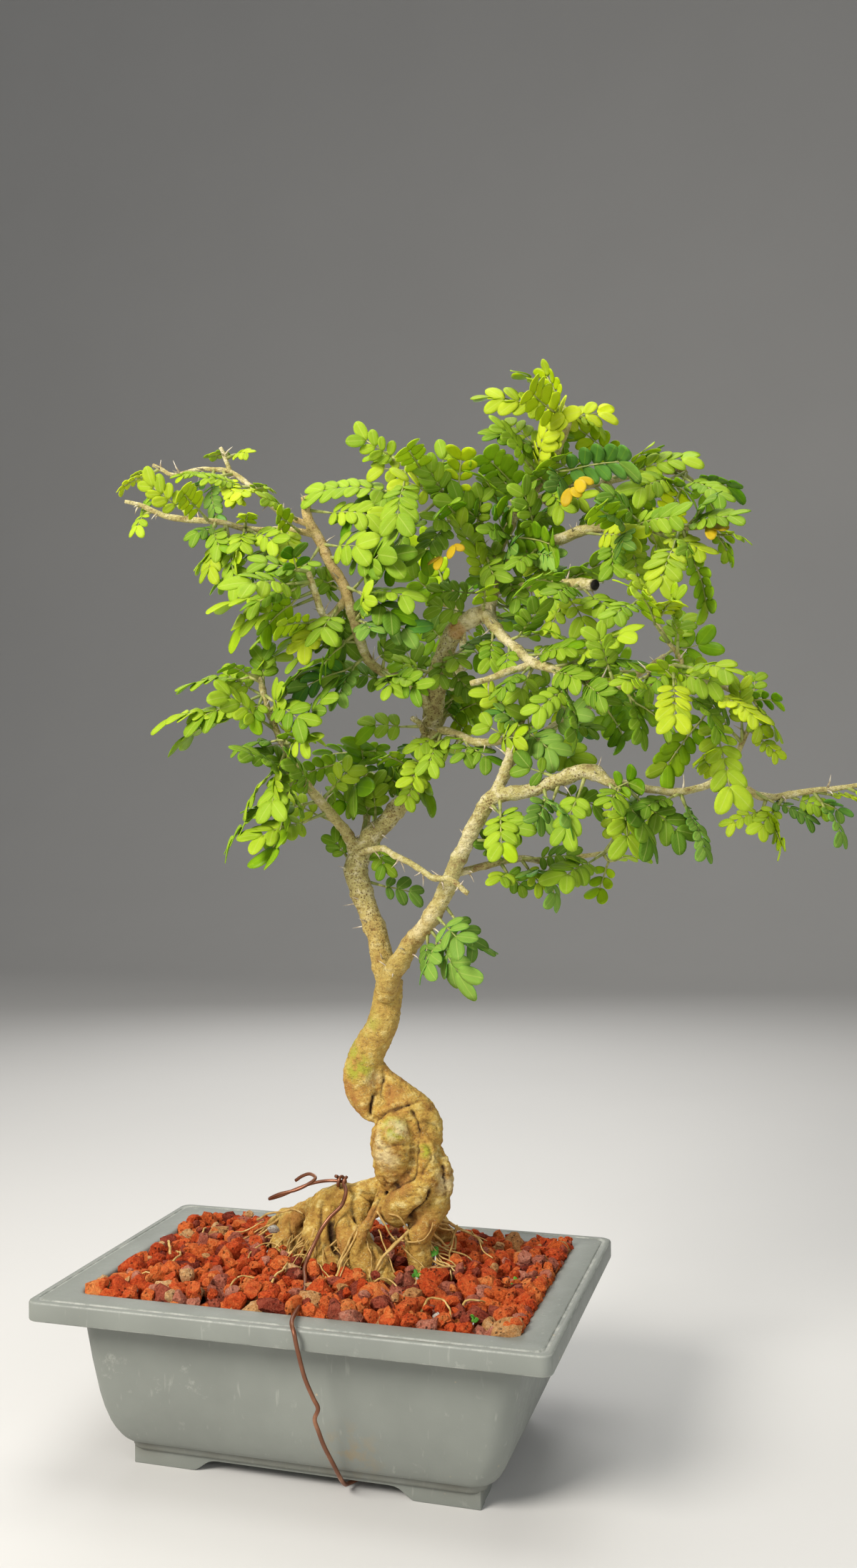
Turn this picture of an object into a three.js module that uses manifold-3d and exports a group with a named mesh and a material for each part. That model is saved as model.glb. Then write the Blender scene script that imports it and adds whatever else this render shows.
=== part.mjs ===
// A texas ebony bonsai in its shallow plastic training pot, in millimetres, +Z up.
// The points of the wood, the leaves and the wire are measured from the middle of the pot's foot
// plane, +X along the pot to the right and +Y away from the front. The finished group is then
// shifted so that its origin lies under the middle of its bounding box.

import * as THREE from 'three';
import { mergeVertices } from 'three/addons/utils/BufferGeometryUtils.js';
import Module from 'manifold-3d';

const wasm = await Module();
wasm.setup();

// Driving dimensions
const RIM_LENGTH = 203;
const RIM_WIDTH = 133;
const POT_HEIGHT = 68.5;
const RIM_BAND = 7.5;
const FLANGE_THICKNESS = 2.5;
const LIP_THICKNESS = 2.6;
const FOOT_HEIGHT = 6;
const RECESS_HEIGHT = 4.5;
const FOOT_HALF_LENGTH = 69.7;
const FOOT_HALF_WIDTH = 40.2;
const FOOT_BOARD = 6;
const DRAIN_RADIUS = 7;
const DRAIN_OFFSET = 45;
const CORNER_STEPS = 3;

const GAP = 0.35;
const SURFACE_TOLERANCE = 0.28;
const LEAF_TOLERANCE = 0.12;

const STONE_SPACING = 18;
const STONE_ROWS = 4;
const STONE_COLUMNS = 6;
const STONE_RISE = 5;
const GROOVE_DEPTH = 2.5;
const SOIL_EDGE_LEVEL = 60;
const SOIL_MIDDLE_LEVEL = 66;

const WIRE_RADIUS = 1;
const WIRE_STEP = 5.4;

const BLADE_THICKNESS = 0.7;
const LONGEST_PINNA = 33;
const LONG_PINNA = 23;
const SHORTEST_PINNA = 12;
const STEM_RADIUS = 0.8;
const RIB_HALF_WIDTH = 0.55;
const ARCH = 0.09;
const DROOP = 0.35;

const THORN_LENGTH = 7;
const THORN_RADIUS = 0.75;
const THORN_SPACING = 50;
const THORNS_START = 150;
const THICKEST_THORNY = 5.5;

// Colours
const POT_GREY = 0x8f978a;
const LAVA_RED = 0xa8452c;
const BARK_TAN = 0xa88f5c;
const COPPER = 0x8a4a33;
const LEAF_TONES = [0xb5cf2c, 0x93b53a, 0x5fa32f, 0x3f8440];

// The wood: each limb is a list of points on its middle line, [x, y, z, radius]
const LIMBS = {
  trunk: [
    [21, 8, 185, 5.6], [20, 8, 176, 5.8], [18, 8, 167, 6.4], [12, 8, 158, 7], [9, 8, 150, 7.6],
    [9, 8, 141, 7.7], [14, 9, 133, 7.6], [22, 11, 129, 7.6], [30, 12, 125, 7.4], [34, 12, 119, 6.4],
  ],
  knob: [[30, 6, 131, 5.2], [23, 4, 125, 8.6], [23, 3, 117, 8.6], [24, 4, 108, 7.8], [26, 8, 100, 6]],
  left_strand: [
    [37, 6, 120, 5.2], [39, 2, 112, 6.2], [34, 0, 103, 6.4], [26, 0, 95, 6.5], [20, 4, 87, 5.2],
  ],
  right_strand: [
    [36, 12, 122, 5.8], [41, 10, 114, 5.8], [42, 9, 105, 6], [39, 8, 95, 5.8], [35, 7, 88, 5.5],
    [34, 5, 80, 5.2], [34, 2, 71, 5.1], [36, 0, 58, 4.8],
  ],
  ridge: [
    [24, 10, 104, 5], [14, 14, 98, 5], [6, 12, 94, 6.4], [-5, 12, 92, 5.9], [-17, 16, 85, 5.6],
    [-31, 22, 78, 4.9],
  ],
  front_root: [
    [10, 8, 94, 4.7], [5, 3, 86, 6.6], [10, -3, 78, 7.3], [20, -8, 70, 6.8], [28, -14, 64, 5.6],
    [32, -17, 56, 4.6],
  ],
  middle_root: [
    [-5, 10, 94, 4.7], [-8, 8, 88, 6.6], [-8, 4, 80, 7.5], [-2, -3, 70, 7.2], [5, -12, 62, 5.6],
    [8, -15, 55, 4.6],
  ],
  left_root: [[-17, 16, 84, 4.4], [-25, 16, 80, 6], [-26, 12, 71, 6.6], [-18, 4, 63, 5.9], [-15, 1, 55, 4.8]],
  far_left_root: [[-25, 20, 81, 4.9], [-34, 26, 77, 4.6], [-42, 30, 69, 3.7], [-46, 33, 58, 2.8]],
  back_root: [[34, 14, 92, 4.9], [35, 28, 79, 4.6], [36, 40, 68, 3.8], [37, 47, 57, 3.1]],
  strand_root: [[18, 7, 101, 2.6], [18, -2, 94, 2.4], [14, -8, 86, 2.2], [12, -10, 78, 2]],
  left_leader: [
    [21, 8, 180, 5.4], [18, 10, 190, 4.8], [15, 12, 200, 4.4], [11, 14, 209, 4.4], [7, 16, 218, 4.6],
    [4, 17, 226, 4.9], [4, 18, 232, 5], [10, 20, 243, 4.3], [16, 21, 249, 3.9], [24, 22, 258, 3.7],
    [30, 24, 268, 3.7], [34, 24, 279, 3.9], [35, 24, 288, 4.2], [37, 22, 299, 4.2], [40, 20, 311, 4],
    [44, 18, 321, 3.8], [49, 16, 328, 3.7], [56, 14, 332, 3.5], [65, 14, 334, 3.1],
  ],
  top_leader: [
    [62, 14, 332, 3.2], [63, 18, 343, 2.9], [62, 24, 355, 2.8], [66, 28, 368, 2.7], [76, 26, 381, 2.5],
    [86, 22, 392, 2.3], [93, 18, 403, 2], [97, 16, 413, 1.1],
  ],
  right_leader: [
    [20, 4, 178, 4.6], [24, 0, 187, 4.3], [30, -2, 195, 3.9], [36, -4, 203, 3.5], [42, -6, 209, 3.5],
    [47, -8, 217, 3.5], [52, -9, 227, 3.3], [59, -12, 240, 3], [64, -14, 249, 3], [70, -17, 257, 3],
    [77, -19, 259, 2.8], [86, -20, 260, 2.6], [97, -22, 264, 2.5], [106, -25, 267, 2.9],
    [112, -26, 266, 2.8], [117, -27, 263, 1.9], [122, -27, 262, 1.6],
  ],
  right_tip: [
    [119, -27, 263, 1.6], [133, -24, 260, 1.4], [142, -20, 259, 1.4], [150, -15, 261, 1.3],
    [158, -10, 264, 1.4], [165, -8, 260, 1.3], [172, -6, 257, 1.4], [189, -6, 259, 1.1],
    [205, -5, 261, 0.8],
  ],
  riser: [
    [70, -17, 256, 2.2], [75, -16, 265, 2.3], [77, -14, 272, 2.2], [78, -3, 285, 1.8], [79, 6, 291, 1.4],
  ],
  side_twig: [
    [52, -8, 228, 1.6], [60, -6, 230, 1.5], [67, -2, 232, 1.4], [77, 4, 234, 1.3], [88, 8, 232, 1.1],
    [98, 10, 234, 1], [109, 12, 236, 0.8],
  ],
  tip_shoot: [[157, -10, 263, 1.2], [162, -12, 272, 1.1], [166, -14, 281, 0.9], [169, -14, 287, 0.8]],
  dead_twig: [
    [6, 15, 236, 1.5], [19, 4, 238, 1.3], [29, -6, 235, 1.3], [41, -16, 231, 1.2], [48, -22, 228, 1.2],
    [57, -27, 227, 1.1], [64, -28, 222, 1],
  ],
  low_left: [
    [4, 18, 233, 3], [1, 15, 243, 2.4], [-2, 10, 249, 2.2], [-6, 4, 256, 2.1], [-9, -2, 262, 1.9],
    [-13, -6, 270, 1.7], [-17, -8, 278, 1.6], [-20, -10, 285, 1.6], [-24, -12, 297, 1.4],
    [-27, -12, 308, 1.2],
  ],
  rear_riser: [[5, 19, 236, 2], [4, 28, 246, 1.6], [2, 38, 258, 1.6], [-2, 46, 271, 1.4], [-8, 52, 284, 1.2]],
  middle_arm: [
    [34, 24, 283, 2.1], [42, 16, 286, 1.8], [52, 8, 283, 1.7], [61, 2, 280, 1.6], [73, -6, 280, 1.4],
    [83, -12, 279, 1.1],
  ],
  high_arm: [
    [36, 22, 292, 2.6], [32, 14, 303, 2.2], [26, 8, 307, 2], [19, 2, 311, 2], [16, -4, 316, 1.9],
    [13, -8, 329, 2], [8, -8, 344, 1.9], [2, -8, 354, 1.7], [-2, -8, 363, 1.7], [-7, -8, 372, 1.4],
    [-8, -8, 379, 1.3],
  ],
  long_arm: [
    [-3, -8, 365, 1.5], [-16, -9, 368, 1.2], [-31, -10, 369, 1.2], [-47, -12, 373, 1.2],
    [-57, -14, 374, 1.3], [-67, -16, 376, 1.2], [-76, -18, 380, 1], [-83, -20, 382, 0.7],
  ],
  arch_arm: [
    [-5, -8, 369, 1.3], [-22, -2, 377, 1], [-37, 6, 390, 1.1], [-50, 10, 399, 1.1], [-64, 10, 401, 0.9],
    [-75, 8, 399, 0.9], [-85, 8, 404, 0.8],
  ],
  arch_stub: [[-49, 10, 398, 1.1], [-51, 9, 404, 0.9], [-53, 8, 409, 0.8]],
  short_arm: [[10, -6, 341, 1.5], [4, -16, 330, 1.4], [1, -22, 340, 1.4], [0, -26, 347, 1.1]],
  bow_arm: [
    [61, 13, 333, 2.7], [71, 4, 322, 2.1], [79, -2, 315, 2], [85, -8, 310, 1.9], [93, -14, 307, 1.8],
    [102, -18, 303, 1.6], [116, -22, 299, 1.4], [131, -24, 298, 1.3], [143, -24, 299, 1.2],
    [155, -22, 298, 1], [165, -20, 293, 0.9],
  ],
  bow_twig: [[86, -7, 310, 1.5], [78, -10, 307, 1.4], [69, -12, 304, 1.2], [62, -14, 302, 1.1]],
  shoulder: [
    [61, 24, 352, 2.3], [75, 20, 358, 2.2], [93, 12, 361, 2.3], [108, 6, 363, 2], [127, 0, 360, 1.6],
    [144, -4, 359, 1.3], [154, -6, 359, 1.1],
  ],
  rear_shoulder: [
    [72, 27, 378, 2.2], [90, 34, 385, 1.8], [107, 42, 390, 1.6], [124, 48, 394, 1.5], [139, 50, 393, 1.2],
  ],
  cut_stub: [[62, 20, 343, 2], [86, 6, 342, 1.7], [100, -4, 340, 1.8], [110, -10, 338, 1.9]],
  left_top_arm: [
    [63, 24, 354, 2.1], [55, 16, 366, 1.8], [49, 8, 376, 1.6], [42, 0, 386, 1.4], [34, -4, 392, 1.1],
  ],
  back_arm: [
    [33, 24, 280, 2.6], [35, 42, 295, 2.2], [38, 56, 311, 1.9], [38, 66, 328, 1.6], [33, 74, 346, 1.3],
  ],
  back_right_arm: [
    [76, -15, 270, 1.9], [85, 10, 283, 1.6], [98, 34, 295, 1.5], [114, 52, 308, 1.4], [128, 62, 318, 1.2],
  ],
  thorn_twig: [[34, 24, 281, 1.5], [33, 16, 288, 1.2], [31, 10, 291, 1.2]],
  trail: [
    [130, -24, 298, 1], [134, -26, 304, 0.8], [144, -29, 305, 0.8], [139, -30, 314, 0.8],
    [131, -32, 329, 0.7],
  ],
};

// Fine roots that run from the root mass over the stones and into them, [x, y, z]
const FINE_ROOTS = [
  [[8, 2, 86], [8, -6, 83], [6, -9, 77], [3, -13, 68], [3, -14, 58]],
  [[32, 4, 87], [30, -7, 85], [23, -13, 77], [20, -17, 69], [18, -18, 58]],
  [[36, 9, 86], [41, 17, 84], [44, 21, 77], [45, 16, 70], [48, 8, 60]],
  [[40, 12, 88], [45, 30, 78], [50, 36, 73], [54, 34, 68], [58, 30, 58]],
  [[-9, 11, 92], [-22, 17, 88], [-36, 20, 78], [-47, 22, 69], [-55, 22, 58]],
  [[-10, 5, 80], [-20, 0, 73], [-25, -8, 68], [-25, -16, 58]],
  [[-20, 20, 82], [-22, 32, 74], [-18, 42, 66], [-15, 46, 57]],
];
const FINE_ROOT_RADIUS = 1;

// The wire: its bow, its two ends twisted together, and its run over stones, rim and wall
const WIRE_RUN = [
  [0.9, 6.2, 100.6], [3.6, 1.4, 98.6], [3.4, -3.6, 94.6], [-0.6, -5.6, 90.4], [-3.6, -7.6, 86],
  [-6.2, -9.4, 80], [-8, -12, 75], [-7, -18, 72.6], [-3.1, -27, 72], [2, -42, 70.8], [4, -54, 70.1],
  [6.6, -64.5, 70.3], [9.4, -69, 68.2], [10.4, -68.8, 63], [11.6, -66.5, 54], [12.8, -65.5, 49.3],
  [14.6, -64, 43.8], [15.9, -63, 40], [14.2, -62, 35.6], [14.9, -60, 30.4], [15.8, -57, 24],
  [17.4, -51.6, 15], [18, -47, 8.6], [19.6, -41.6, 3.2], [24, -34, 2.3], [33, -18, 2.3], [42, -4, 2.6],
  [44.6, -0.6, 5], [45, 0, 8.8],
];
const WIRE_BOW = [
  [1.6, 7.5, 101.2], [-6, 8, 101], [-13.6, 8, 99.4], [-19.5, 5, 97.4], [-24.9, 2, 95.2], [-28.9, -1, 94.4],
  [-23, -4, 97.6], [-15.8, -4.4, 99.8], [-10.9, -3, 102.2], [-9.2, 0.4, 103.8], [-12.6, 3, 104.6],
  [-16.4, 4, 103.2], [-19.6, 4.6, 101],
];
const KNOT_TURNS = 2;
const KNOT_RADIUS = 1.9;
const KNOT_CENTRE = [-0.6, 7.6, 101.2];

// The leafy sprays: the limb each grows from, how far along it, its tone, its seed and its leaf tips
const SPRAYS = [
  ['arch_arm', 0.94, 0, 2, [[-102, 4, 394], [-98, 16, 403]]],
  ['long_arm', 0.79, 1, 5, [[-77, -25, 369], [-79, -11, 386]]],
  ['arch_arm', 0.58, 3, 2, [[-72, -2, 386], [-48, -4, 374]]],
  ['arch_arm', 0.35, 0, 82, [[-36, -8, 377], [-22, -4, 385]]],
  ['arch_stub', 0.53, 0, 2, [[-39, 4, 405], [-63, 16, 408]]],
  ['long_arm', 0.28, 1, 1, [[-54, -16, 352], [-28, -26, 352]]],
  ['long_arm', 0.16, 2, 2, [[-52, -5, 346], [-28, -19, 341]]],
  ['short_arm', 0.67, 1, 1, [[-41, -26, 334], [-16, -32, 322]]],
  ['short_arm', 0.33, 1, 1, [[-28, -18, 321], [-9, -32, 325]]],
  ['low_left', 0.98, 1, 6, [[-59, -20, 304], [-16, -4, 321]]],
  ['low_left', 0.89, 1, 3, [[-68, -20, 287], [-69, -8, 281]]],
  ['low_left', 0.76, 2, 1, [[-37, -18, 278], [4, -20, 283]]],
  ['low_left', 0.67, 1, 1, [[-35, -12, 251], [-13, -22, 261]]],
  ['low_left', 0.56, 2, 25, [[-45, -10, 236], [-24, -16, 230], [-5, -20, 247]]],
  ['rear_riser', 0.97, 2, 111, [[-5, 17, 254], [9, 7, 256]]],
  ['thorn_twig', 0.5, 2, 1, [[6, 10, 288]]],
  ['high_arm', 0.4, 3, 1, [[8, -18, 294], [-12, -12, 300]]],
  ['high_arm', 0.47, 2, 1, [[-14, -17, 311], [6, -25, 307]]],
  ['high_arm', 0.29, 2, 1, [[30, -13, 298], [41, -11, 302]]],
  ['high_arm', 0.6, 2, 21, [[42, -18, 334], [36, -22, 324]]],
  ['high_arm', 0.51, 3, 7, [[25, -24, 318], [46, -16, 322]]],
  ['left_top_arm', 0.97, 1, 51, [[12, -8, 403], [16, 4, 395]]],
  ['left_top_arm', 0.72, 2, 128, [[-9, -7, 382], [3, -11, 368]]],
  ['left_top_arm', 0.6, 2, 3, [[15, -9, 360], [25, -15, 344]]],
  ['top_leader', 0.99, 0, 1, [[74, 12, 430], [84, 20, 434]]],
  ['top_leader', 0.89, 0, 5, [[57, 10, 422], [111, 24, 414]]],
  ['top_leader', 0.71, 3, 1, [[93, -4, 375], [125, 6, 388]]],
  ['top_leader', 0.43, 2, 14, [[67, -2, 363], [97, -2, 354]]],
  ['rear_shoulder', 0.5, 1, 111, [[129, 44, 402], [144, 50, 395]]],
  ['rear_shoulder', 0.97, 2, 120, [[164, 46, 382], [155, 56, 373]]],
  ['shoulder', 0.97, 1, 121, [[168, -12, 353], [161, -2, 347]]],
  ['shoulder', 0.82, 2, 1, [[144, -18, 345], [152, -8, 325]]],
  ['cut_stub', 0.43, 1, 58, [[130, 1, 349], [110, -9, 346]]],
  ['trail', 0.98, 0, 1, [[125, -28, 339], [138, -42, 324]]],
  ['bow_arm', 0.13, 2, 43, [[101, -12, 317], [90, -12, 331]]],
  ['bow_arm', 0.4, 1, 114, [[127, -26, 316], [131, -18, 303]]],
  ['bow_arm', 0.5, 2, 1, [[88, -32, 287], [106, -34, 278]]],
  ['bow_arm', 0.64, 2, 1, [[129, -33, 276], [141, -27, 280]]],
  ['bow_arm', 0.8, 1, 1, [[158, -36, 276], [135, -30, 307]]],
  ['bow_arm', 0.9, 0, 6, [[161, -32, 254], [136, -24, 264]]],
  ['bow_arm', 0.99, 1, 10, [[177, -24, 292], [177, -16, 277], [170, -14, 305]]],
  ['right_leader', 0.72, 3, 1, [[90, -36, 246], [106, -36, 247]]],
  ['right_leader', 0.92, 2, 14, [[136, -39, 237], [132, -33, 265]]],
  ['right_tip', 0.25, 3, 3, [[154, -33, 232], [147, -19, 245]]],
  ['right_tip', 0.75, 0, 1, [[156, -12, 245], [178, -14, 238]]],
  ['right_tip', 0.87, 3, 1, [[198, -14, 239], [201, 2, 250]]],
  ['right_tip', 0.96, 1, 121, [[212, -1, 264], [207, -11, 253]]],
  ['side_twig', 0.69, 3, 1, [[90, 0, 215], [81, -4, 229]]],
  ['side_twig', 0.99, 1, 1, [[126, 6, 235], [106, 8, 219]]],
  ['right_leader', 0.24, 3, 1, [[43, -17, 187], [64, -15, 187], [67, -1, 196]]],
  ['back_arm', 0.9, 2, 87, [[12, 82, 330], [63, 80, 338]]],
];

// Random numbers from 0 to 1, always the same ones for a seed
function seededRandom(seed) {
  let state = (seed * 7919 + 17) >>> 0;
  const next = () => {
    state = (Math.imul(state, 1664525) + 1013904223) >>> 0;
    return state / 4294967296;
  };
  next();
  next();
  return next;
}

// A closed skin over rings of equal point count, with a fan over the first and the last
function loft(rings) {
  const count = rings[0].length;
  const last = (rings.length - 1) * count;
  const index = [];
  for (let start = 0; start < last; start += count) {
    for (let i = 0; i < count; i++) {
      const next = (i + 1) % count;
      index.push(start + i, start + next, start + count + next);
      index.push(start + i, start + count + next, start + count + i);
    }
  }
  for (let i = 1; i + 1 < count; i++) {
    index.push(0, i + 1, i, last, last + i, last + i + 1);
  }
  return indexed(rings.flat().flatMap((p) => p.toArray()), index);
}

function indexed(coordinates, index) {
  const geometry = new THREE.BufferGeometry();
  geometry.setAttribute('position', new THREE.Float32BufferAttribute(coordinates, 3));
  geometry.setIndex(index);
  return geometry;
}

// A geometry as a manifold solid, and back again
function solid(geometry) {
  const bare = geometry.clone();
  bare.deleteAttribute('normal');
  bare.deleteAttribute('uv');
  const merged = mergeVertices(bare, 1e-5);
  return new wasm.Manifold(new wasm.Mesh({
    numProp: 3,
    vertProperties: new Float32Array(merged.attributes.position.array),
    triVerts: new Uint32Array(merged.index.array),
  }));
}

function geometryOf(body) {
  const mesh = body.getMesh();
  return indexed(mesh.vertProperties, Array.from(mesh.triVerts));
}

function join(bodies) {
  return bodies.reduce((sum, body) => sum.add(body));
}

// The largest of a body's separate pieces, so that no loose scrap is left
function largestPiece(body) {
  const pieces = body.decompose();
  return pieces.reduce((best, piece) => (piece.volume() > best.volume() ? piece : best));
}

// A tapered round limb along its points, which a positive grow makes thicker all round
function limbGeometry(points, sides, grow = 0) {
  const middles = points.map(([x, y, z]) => new THREE.Vector3(x, y, z));
  const last = middles.length - 1;
  const tangents = middles.map((_, i) => middles[Math.min(i + 1, last)].clone()
    .sub(middles[Math.max(i - 1, 0)]).normalize());
  const normal = new THREE.Vector3(0.31, 0.87, 0.12).cross(tangents[0]).normalize();
  const rings = middles.map((middle, i) => {
    normal.addScaledVector(tangents[i], -normal.dot(tangents[i])).normalize();
    const across = tangents[i].clone().cross(normal);
    const radius = points[i][3] + grow;
    return Array.from({ length: sides }, (_, k) => {
      const turn = (2 * Math.PI * k) / sides;
      return middle.clone().addScaledVector(normal, radius * Math.cos(turn))
        .addScaledVector(across, radius * Math.sin(turn));
    });
  });
  rings[0].forEach((p) => p.addScaledVector(tangents[0], -grow));
  rings[last].forEach((p) => p.addScaledVector(tangents[last], grow));
  return loft(rings);
}

function limbSides(points) {
  const thickest = Math.max(...points.map((p) => p[3]));
  if (thickest > 5.6) return 9;
  if (thickest > 4.4) return 8;
  if (thickest > 2.8) return 6;
  return thickest > 1.55 ? 5 : 4;
}

// The place, radius and direction at a fraction of a limb's list of points
function pointOnLimb(points, at) {
  const place = Math.min(at, 0.9999) * (points.length - 1);
  const i = Math.floor(place);
  const a = new THREE.Vector4(...points[i]);
  const b = new THREE.Vector4(...points[i + 1]);
  const mixed = a.clone().lerp(b, place - i);
  const along = new THREE.Vector3(b.x - a.x, b.y - a.y, b.z - a.z).normalize();
  return { middle: new THREE.Vector3(mixed.x, mixed.y, mixed.z), radius: mixed.w, along };
}

// A rounded rectangle about the pot's middle, anticlockwise seen from above
function roundedRing([halfLength, halfWidth, z, radius]) {
  const ring = [];
  for (let corner = 0; corner < 4; corner++) {
    const signX = corner === 0 || corner === 3 ? 1 : -1;
    const signY = corner < 2 ? 1 : -1;
    for (let step = 0; step <= CORNER_STEPS; step++) {
      const turn = (Math.PI / 2) * (corner + step / CORNER_STEPS);
      ring.push(new THREE.Vector3(
        signX * (halfLength - radius) + radius * Math.cos(turn),
        signY * (halfWidth - radius) + radius * Math.sin(turn),
        z,
      ));
    }
  }
  return ring;
}

// The pot's section: half length, half width, height and corner radius, outside then inside
const HALF_LENGTH = RIM_LENGTH / 2;
const HALF_WIDTH = RIM_WIDTH / 2;
const FLANGE_UNDER = POT_HEIGHT - FLANGE_THICKNESS;
const BAND_FOOT = POT_HEIGHT - RIM_BAND;
const OUTSIDE = [
  [71, 41.5, FOOT_HEIGHT, 6],
  [71.5, 42, 9, 6],
  [73.5, 43.5, 9.4, 8],
  [76.4, 45.8, 12, 9],
  [79.6, 48.2, 18, 9],
  [82.6, 50.6, 29, 9],
  [85, 52, 42, 9],
  [87.2, 53, 55.8, 9],
  [88.3, 53.6, FLANGE_UNDER, 8],
];
const FLANGE = [
  [HALF_LENGTH - LIP_THICKNESS, HALF_WIDTH - LIP_THICKNESS, FLANGE_UNDER, 3],
  [HALF_LENGTH - LIP_THICKNESS, HALF_WIDTH - LIP_THICKNESS, BAND_FOOT, 3],
  [HALF_LENGTH, HALF_WIDTH, BAND_FOOT, 4],
  [HALF_LENGTH, HALF_WIDTH, POT_HEIGHT - 0.7, 4],
  [HALF_LENGTH - 0.7, HALF_WIDTH - 0.7, POT_HEIGHT, 4],
  [HALF_LENGTH - 2.2, HALF_WIDTH - 2.2, POT_HEIGHT, 4],
  [HALF_LENGTH - 2.6, HALF_WIDTH - 2.6, POT_HEIGHT - 0.5, 4],
  [HALF_LENGTH - 3.6, HALF_WIDTH - 3.6, POT_HEIGHT - 0.5, 4],
  [HALF_LENGTH - 4, HALF_WIDTH - 4, POT_HEIGHT, 4],
  [88.4, 53.6, POT_HEIGHT, 5],
];
const INSIDE = [
  [86.6, 51.8, POT_HEIGHT - 0.9, 6],
  [86.2, 51.5, 64, 7],
  [85.2, 51, 55.8, 7],
  [83, 50, 42, 7],
  [80.6, 48.6, 29, 7],
  [77.4, 46, 18, 7],
  [73.5, 43, 12, 7],
  [70.5, 40.5, 9.5, 6],
];

// One board of the foot ring, cut away between its two feet by ogees
function footBoard(halfLength, footLength) {
  const ogee = 11;
  const inner = halfLength - footLength;
  const top = FOOT_HEIGHT + 1;
  const shape = new THREE.Shape();
  shape.moveTo(-halfLength, top);
  shape.lineTo(-halfLength, 0);
  shape.lineTo(-inner, 0);
  shape.bezierCurveTo(-inner + ogee / 2, 0, -inner + ogee / 2, RECESS_HEIGHT, -inner + ogee, RECESS_HEIGHT);
  shape.lineTo(inner - ogee, RECESS_HEIGHT);
  shape.bezierCurveTo(inner - ogee / 2, RECESS_HEIGHT, inner - ogee / 2, 0, inner, 0);
  shape.lineTo(halfLength, 0);
  shape.lineTo(halfLength, top);
  const options = { depth: FOOT_BOARD, bevelEnabled: false, curveSegments: 4 };
  return new THREE.ExtrudeGeometry(shape, options).rotateX(Math.PI / 2);
}

function buildPot() {
  const bodies = [solid(loft([...OUTSIDE, ...FLANGE, ...INSIDE].map(roundedRing)))];
  const longFoot = 24;
  const sideFoot = 15;
  bodies.push(solid(footBoard(FOOT_HALF_LENGTH, longFoot).translate(0, FOOT_HALF_WIDTH, 0)));
  bodies.push(solid(footBoard(FOOT_HALF_LENGTH, longFoot).translate(0, FOOT_BOARD - FOOT_HALF_WIDTH, 0)));
  for (const x of [FOOT_BOARD - FOOT_HALF_LENGTH, FOOT_HALF_LENGTH]) {
    const board = footBoard(FOOT_HALF_WIDTH, sideFoot).rotateZ(-Math.PI / 2);
    bodies.push(solid(board.translate(x - FOOT_BOARD, 0, 0)));
  }
  let pot = join(bodies);
  for (const x of [-DRAIN_OFFSET, DRAIN_OFFSET]) {
    const drain = new THREE.CylinderGeometry(DRAIN_RADIUS, DRAIN_RADIUS, 20, 12);
    pot = pot.subtract(solid(drain.rotateX(Math.PI / 2).translate(x, 0, FOOT_HEIGHT)));
  }
  return pot;
}

// The room inside the pot, a gap clear of its walls and carried up past its rim
function potRoom() {
  const clear = INSIDE.map(([a, b, z, r]) => [a - GAP, b - GAP, z + GAP, r]);
  const opening = [clear[0][0], clear[0][1], POT_HEIGHT + 15, clear[0][3]];
  return [...clear.reverse(), opening];
}

function soilLevel(x, y) {
  const reach = Math.min(1, (x / 88) ** 2 + (y / 54) ** 2);
  return SOIL_MIDDLE_LEVEL + (SOIL_EDGE_LEVEL - SOIL_MIDDLE_LEVEL) * reach;
}

// The height and place jitter of a lattice point, from its own place, so that neighbours agree
function latticeRandom(x, y) {
  return seededRandom(Math.round(x * 3 + 700) * 31 + Math.round(y * 3 + 500));
}

// The stones as one field: each has a raised crown of facets, and grooves between it and the next
function stoneField() {
  const rowStep = STONE_SPACING * Math.sin(Math.PI / 3);
  const corner = STONE_SPACING / Math.sqrt(3);
  const points = [];
  const known = new Map();
  const triangles = [];
  const put = (x, y, z) => points.push([x, y, z]) - 1;
  const groove = (x, y) => {
    const key = `${Math.round(x)},${Math.round(y)}`;
    if (!known.has(key)) {
      const random = latticeRandom(Math.round(x), Math.round(y));
      const px = x + (random() - 0.5) * 3.6;
      const py = y + (random() - 0.5) * 3.6;
      known.set(key, put(px, py, soilLevel(px, py) - GROOVE_DEPTH * random()));
    }
    return known.get(key);
  };
  for (let row = -STONE_ROWS; row <= STONE_ROWS; row++) {
    for (let column = -STONE_COLUMNS; column <= STONE_COLUMNS; column++) {
      const x = (column + (row % 2 ? 0.5 : 0)) * STONE_SPACING;
      const y = row * rowStep;
      const random = latticeRandom(x + 0.4, y);
      const rise = STONE_RISE * (0.6 + 0.7 * random());
      const outer = Array.from({ length: 6 }, (_, k) => {
        const turn = (Math.PI / 3) * (k + 0.5);
        return groove(x + corner * Math.cos(turn), y + corner * Math.sin(turn));
      });
      const crown = outer.map((g) => {
        const [gx, gy] = points[g];
        const inset = 0.66 + 0.22 * random();
        const height = rise * (0.45 + 0.5 * random());
        return put(x + (gx - x) * inset, y + (gy - y) * inset, soilLevel(x, y) + height);
      });
      const top = put(x + random() * 3 - 1.5, y + random() * 3 - 1.5, soilLevel(x, y) + rise * 1.15);
      for (let k = 0; k < 6; k++) {
        const next = (k + 1) % 6;
        triangles.push([outer[k], outer[next], crown[next]], [outer[k], crown[next], crown[k]]);
        triangles.push([crown[k], crown[next], top]);
      }
    }
  }
  return skirted(points, triangles);
}

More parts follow.
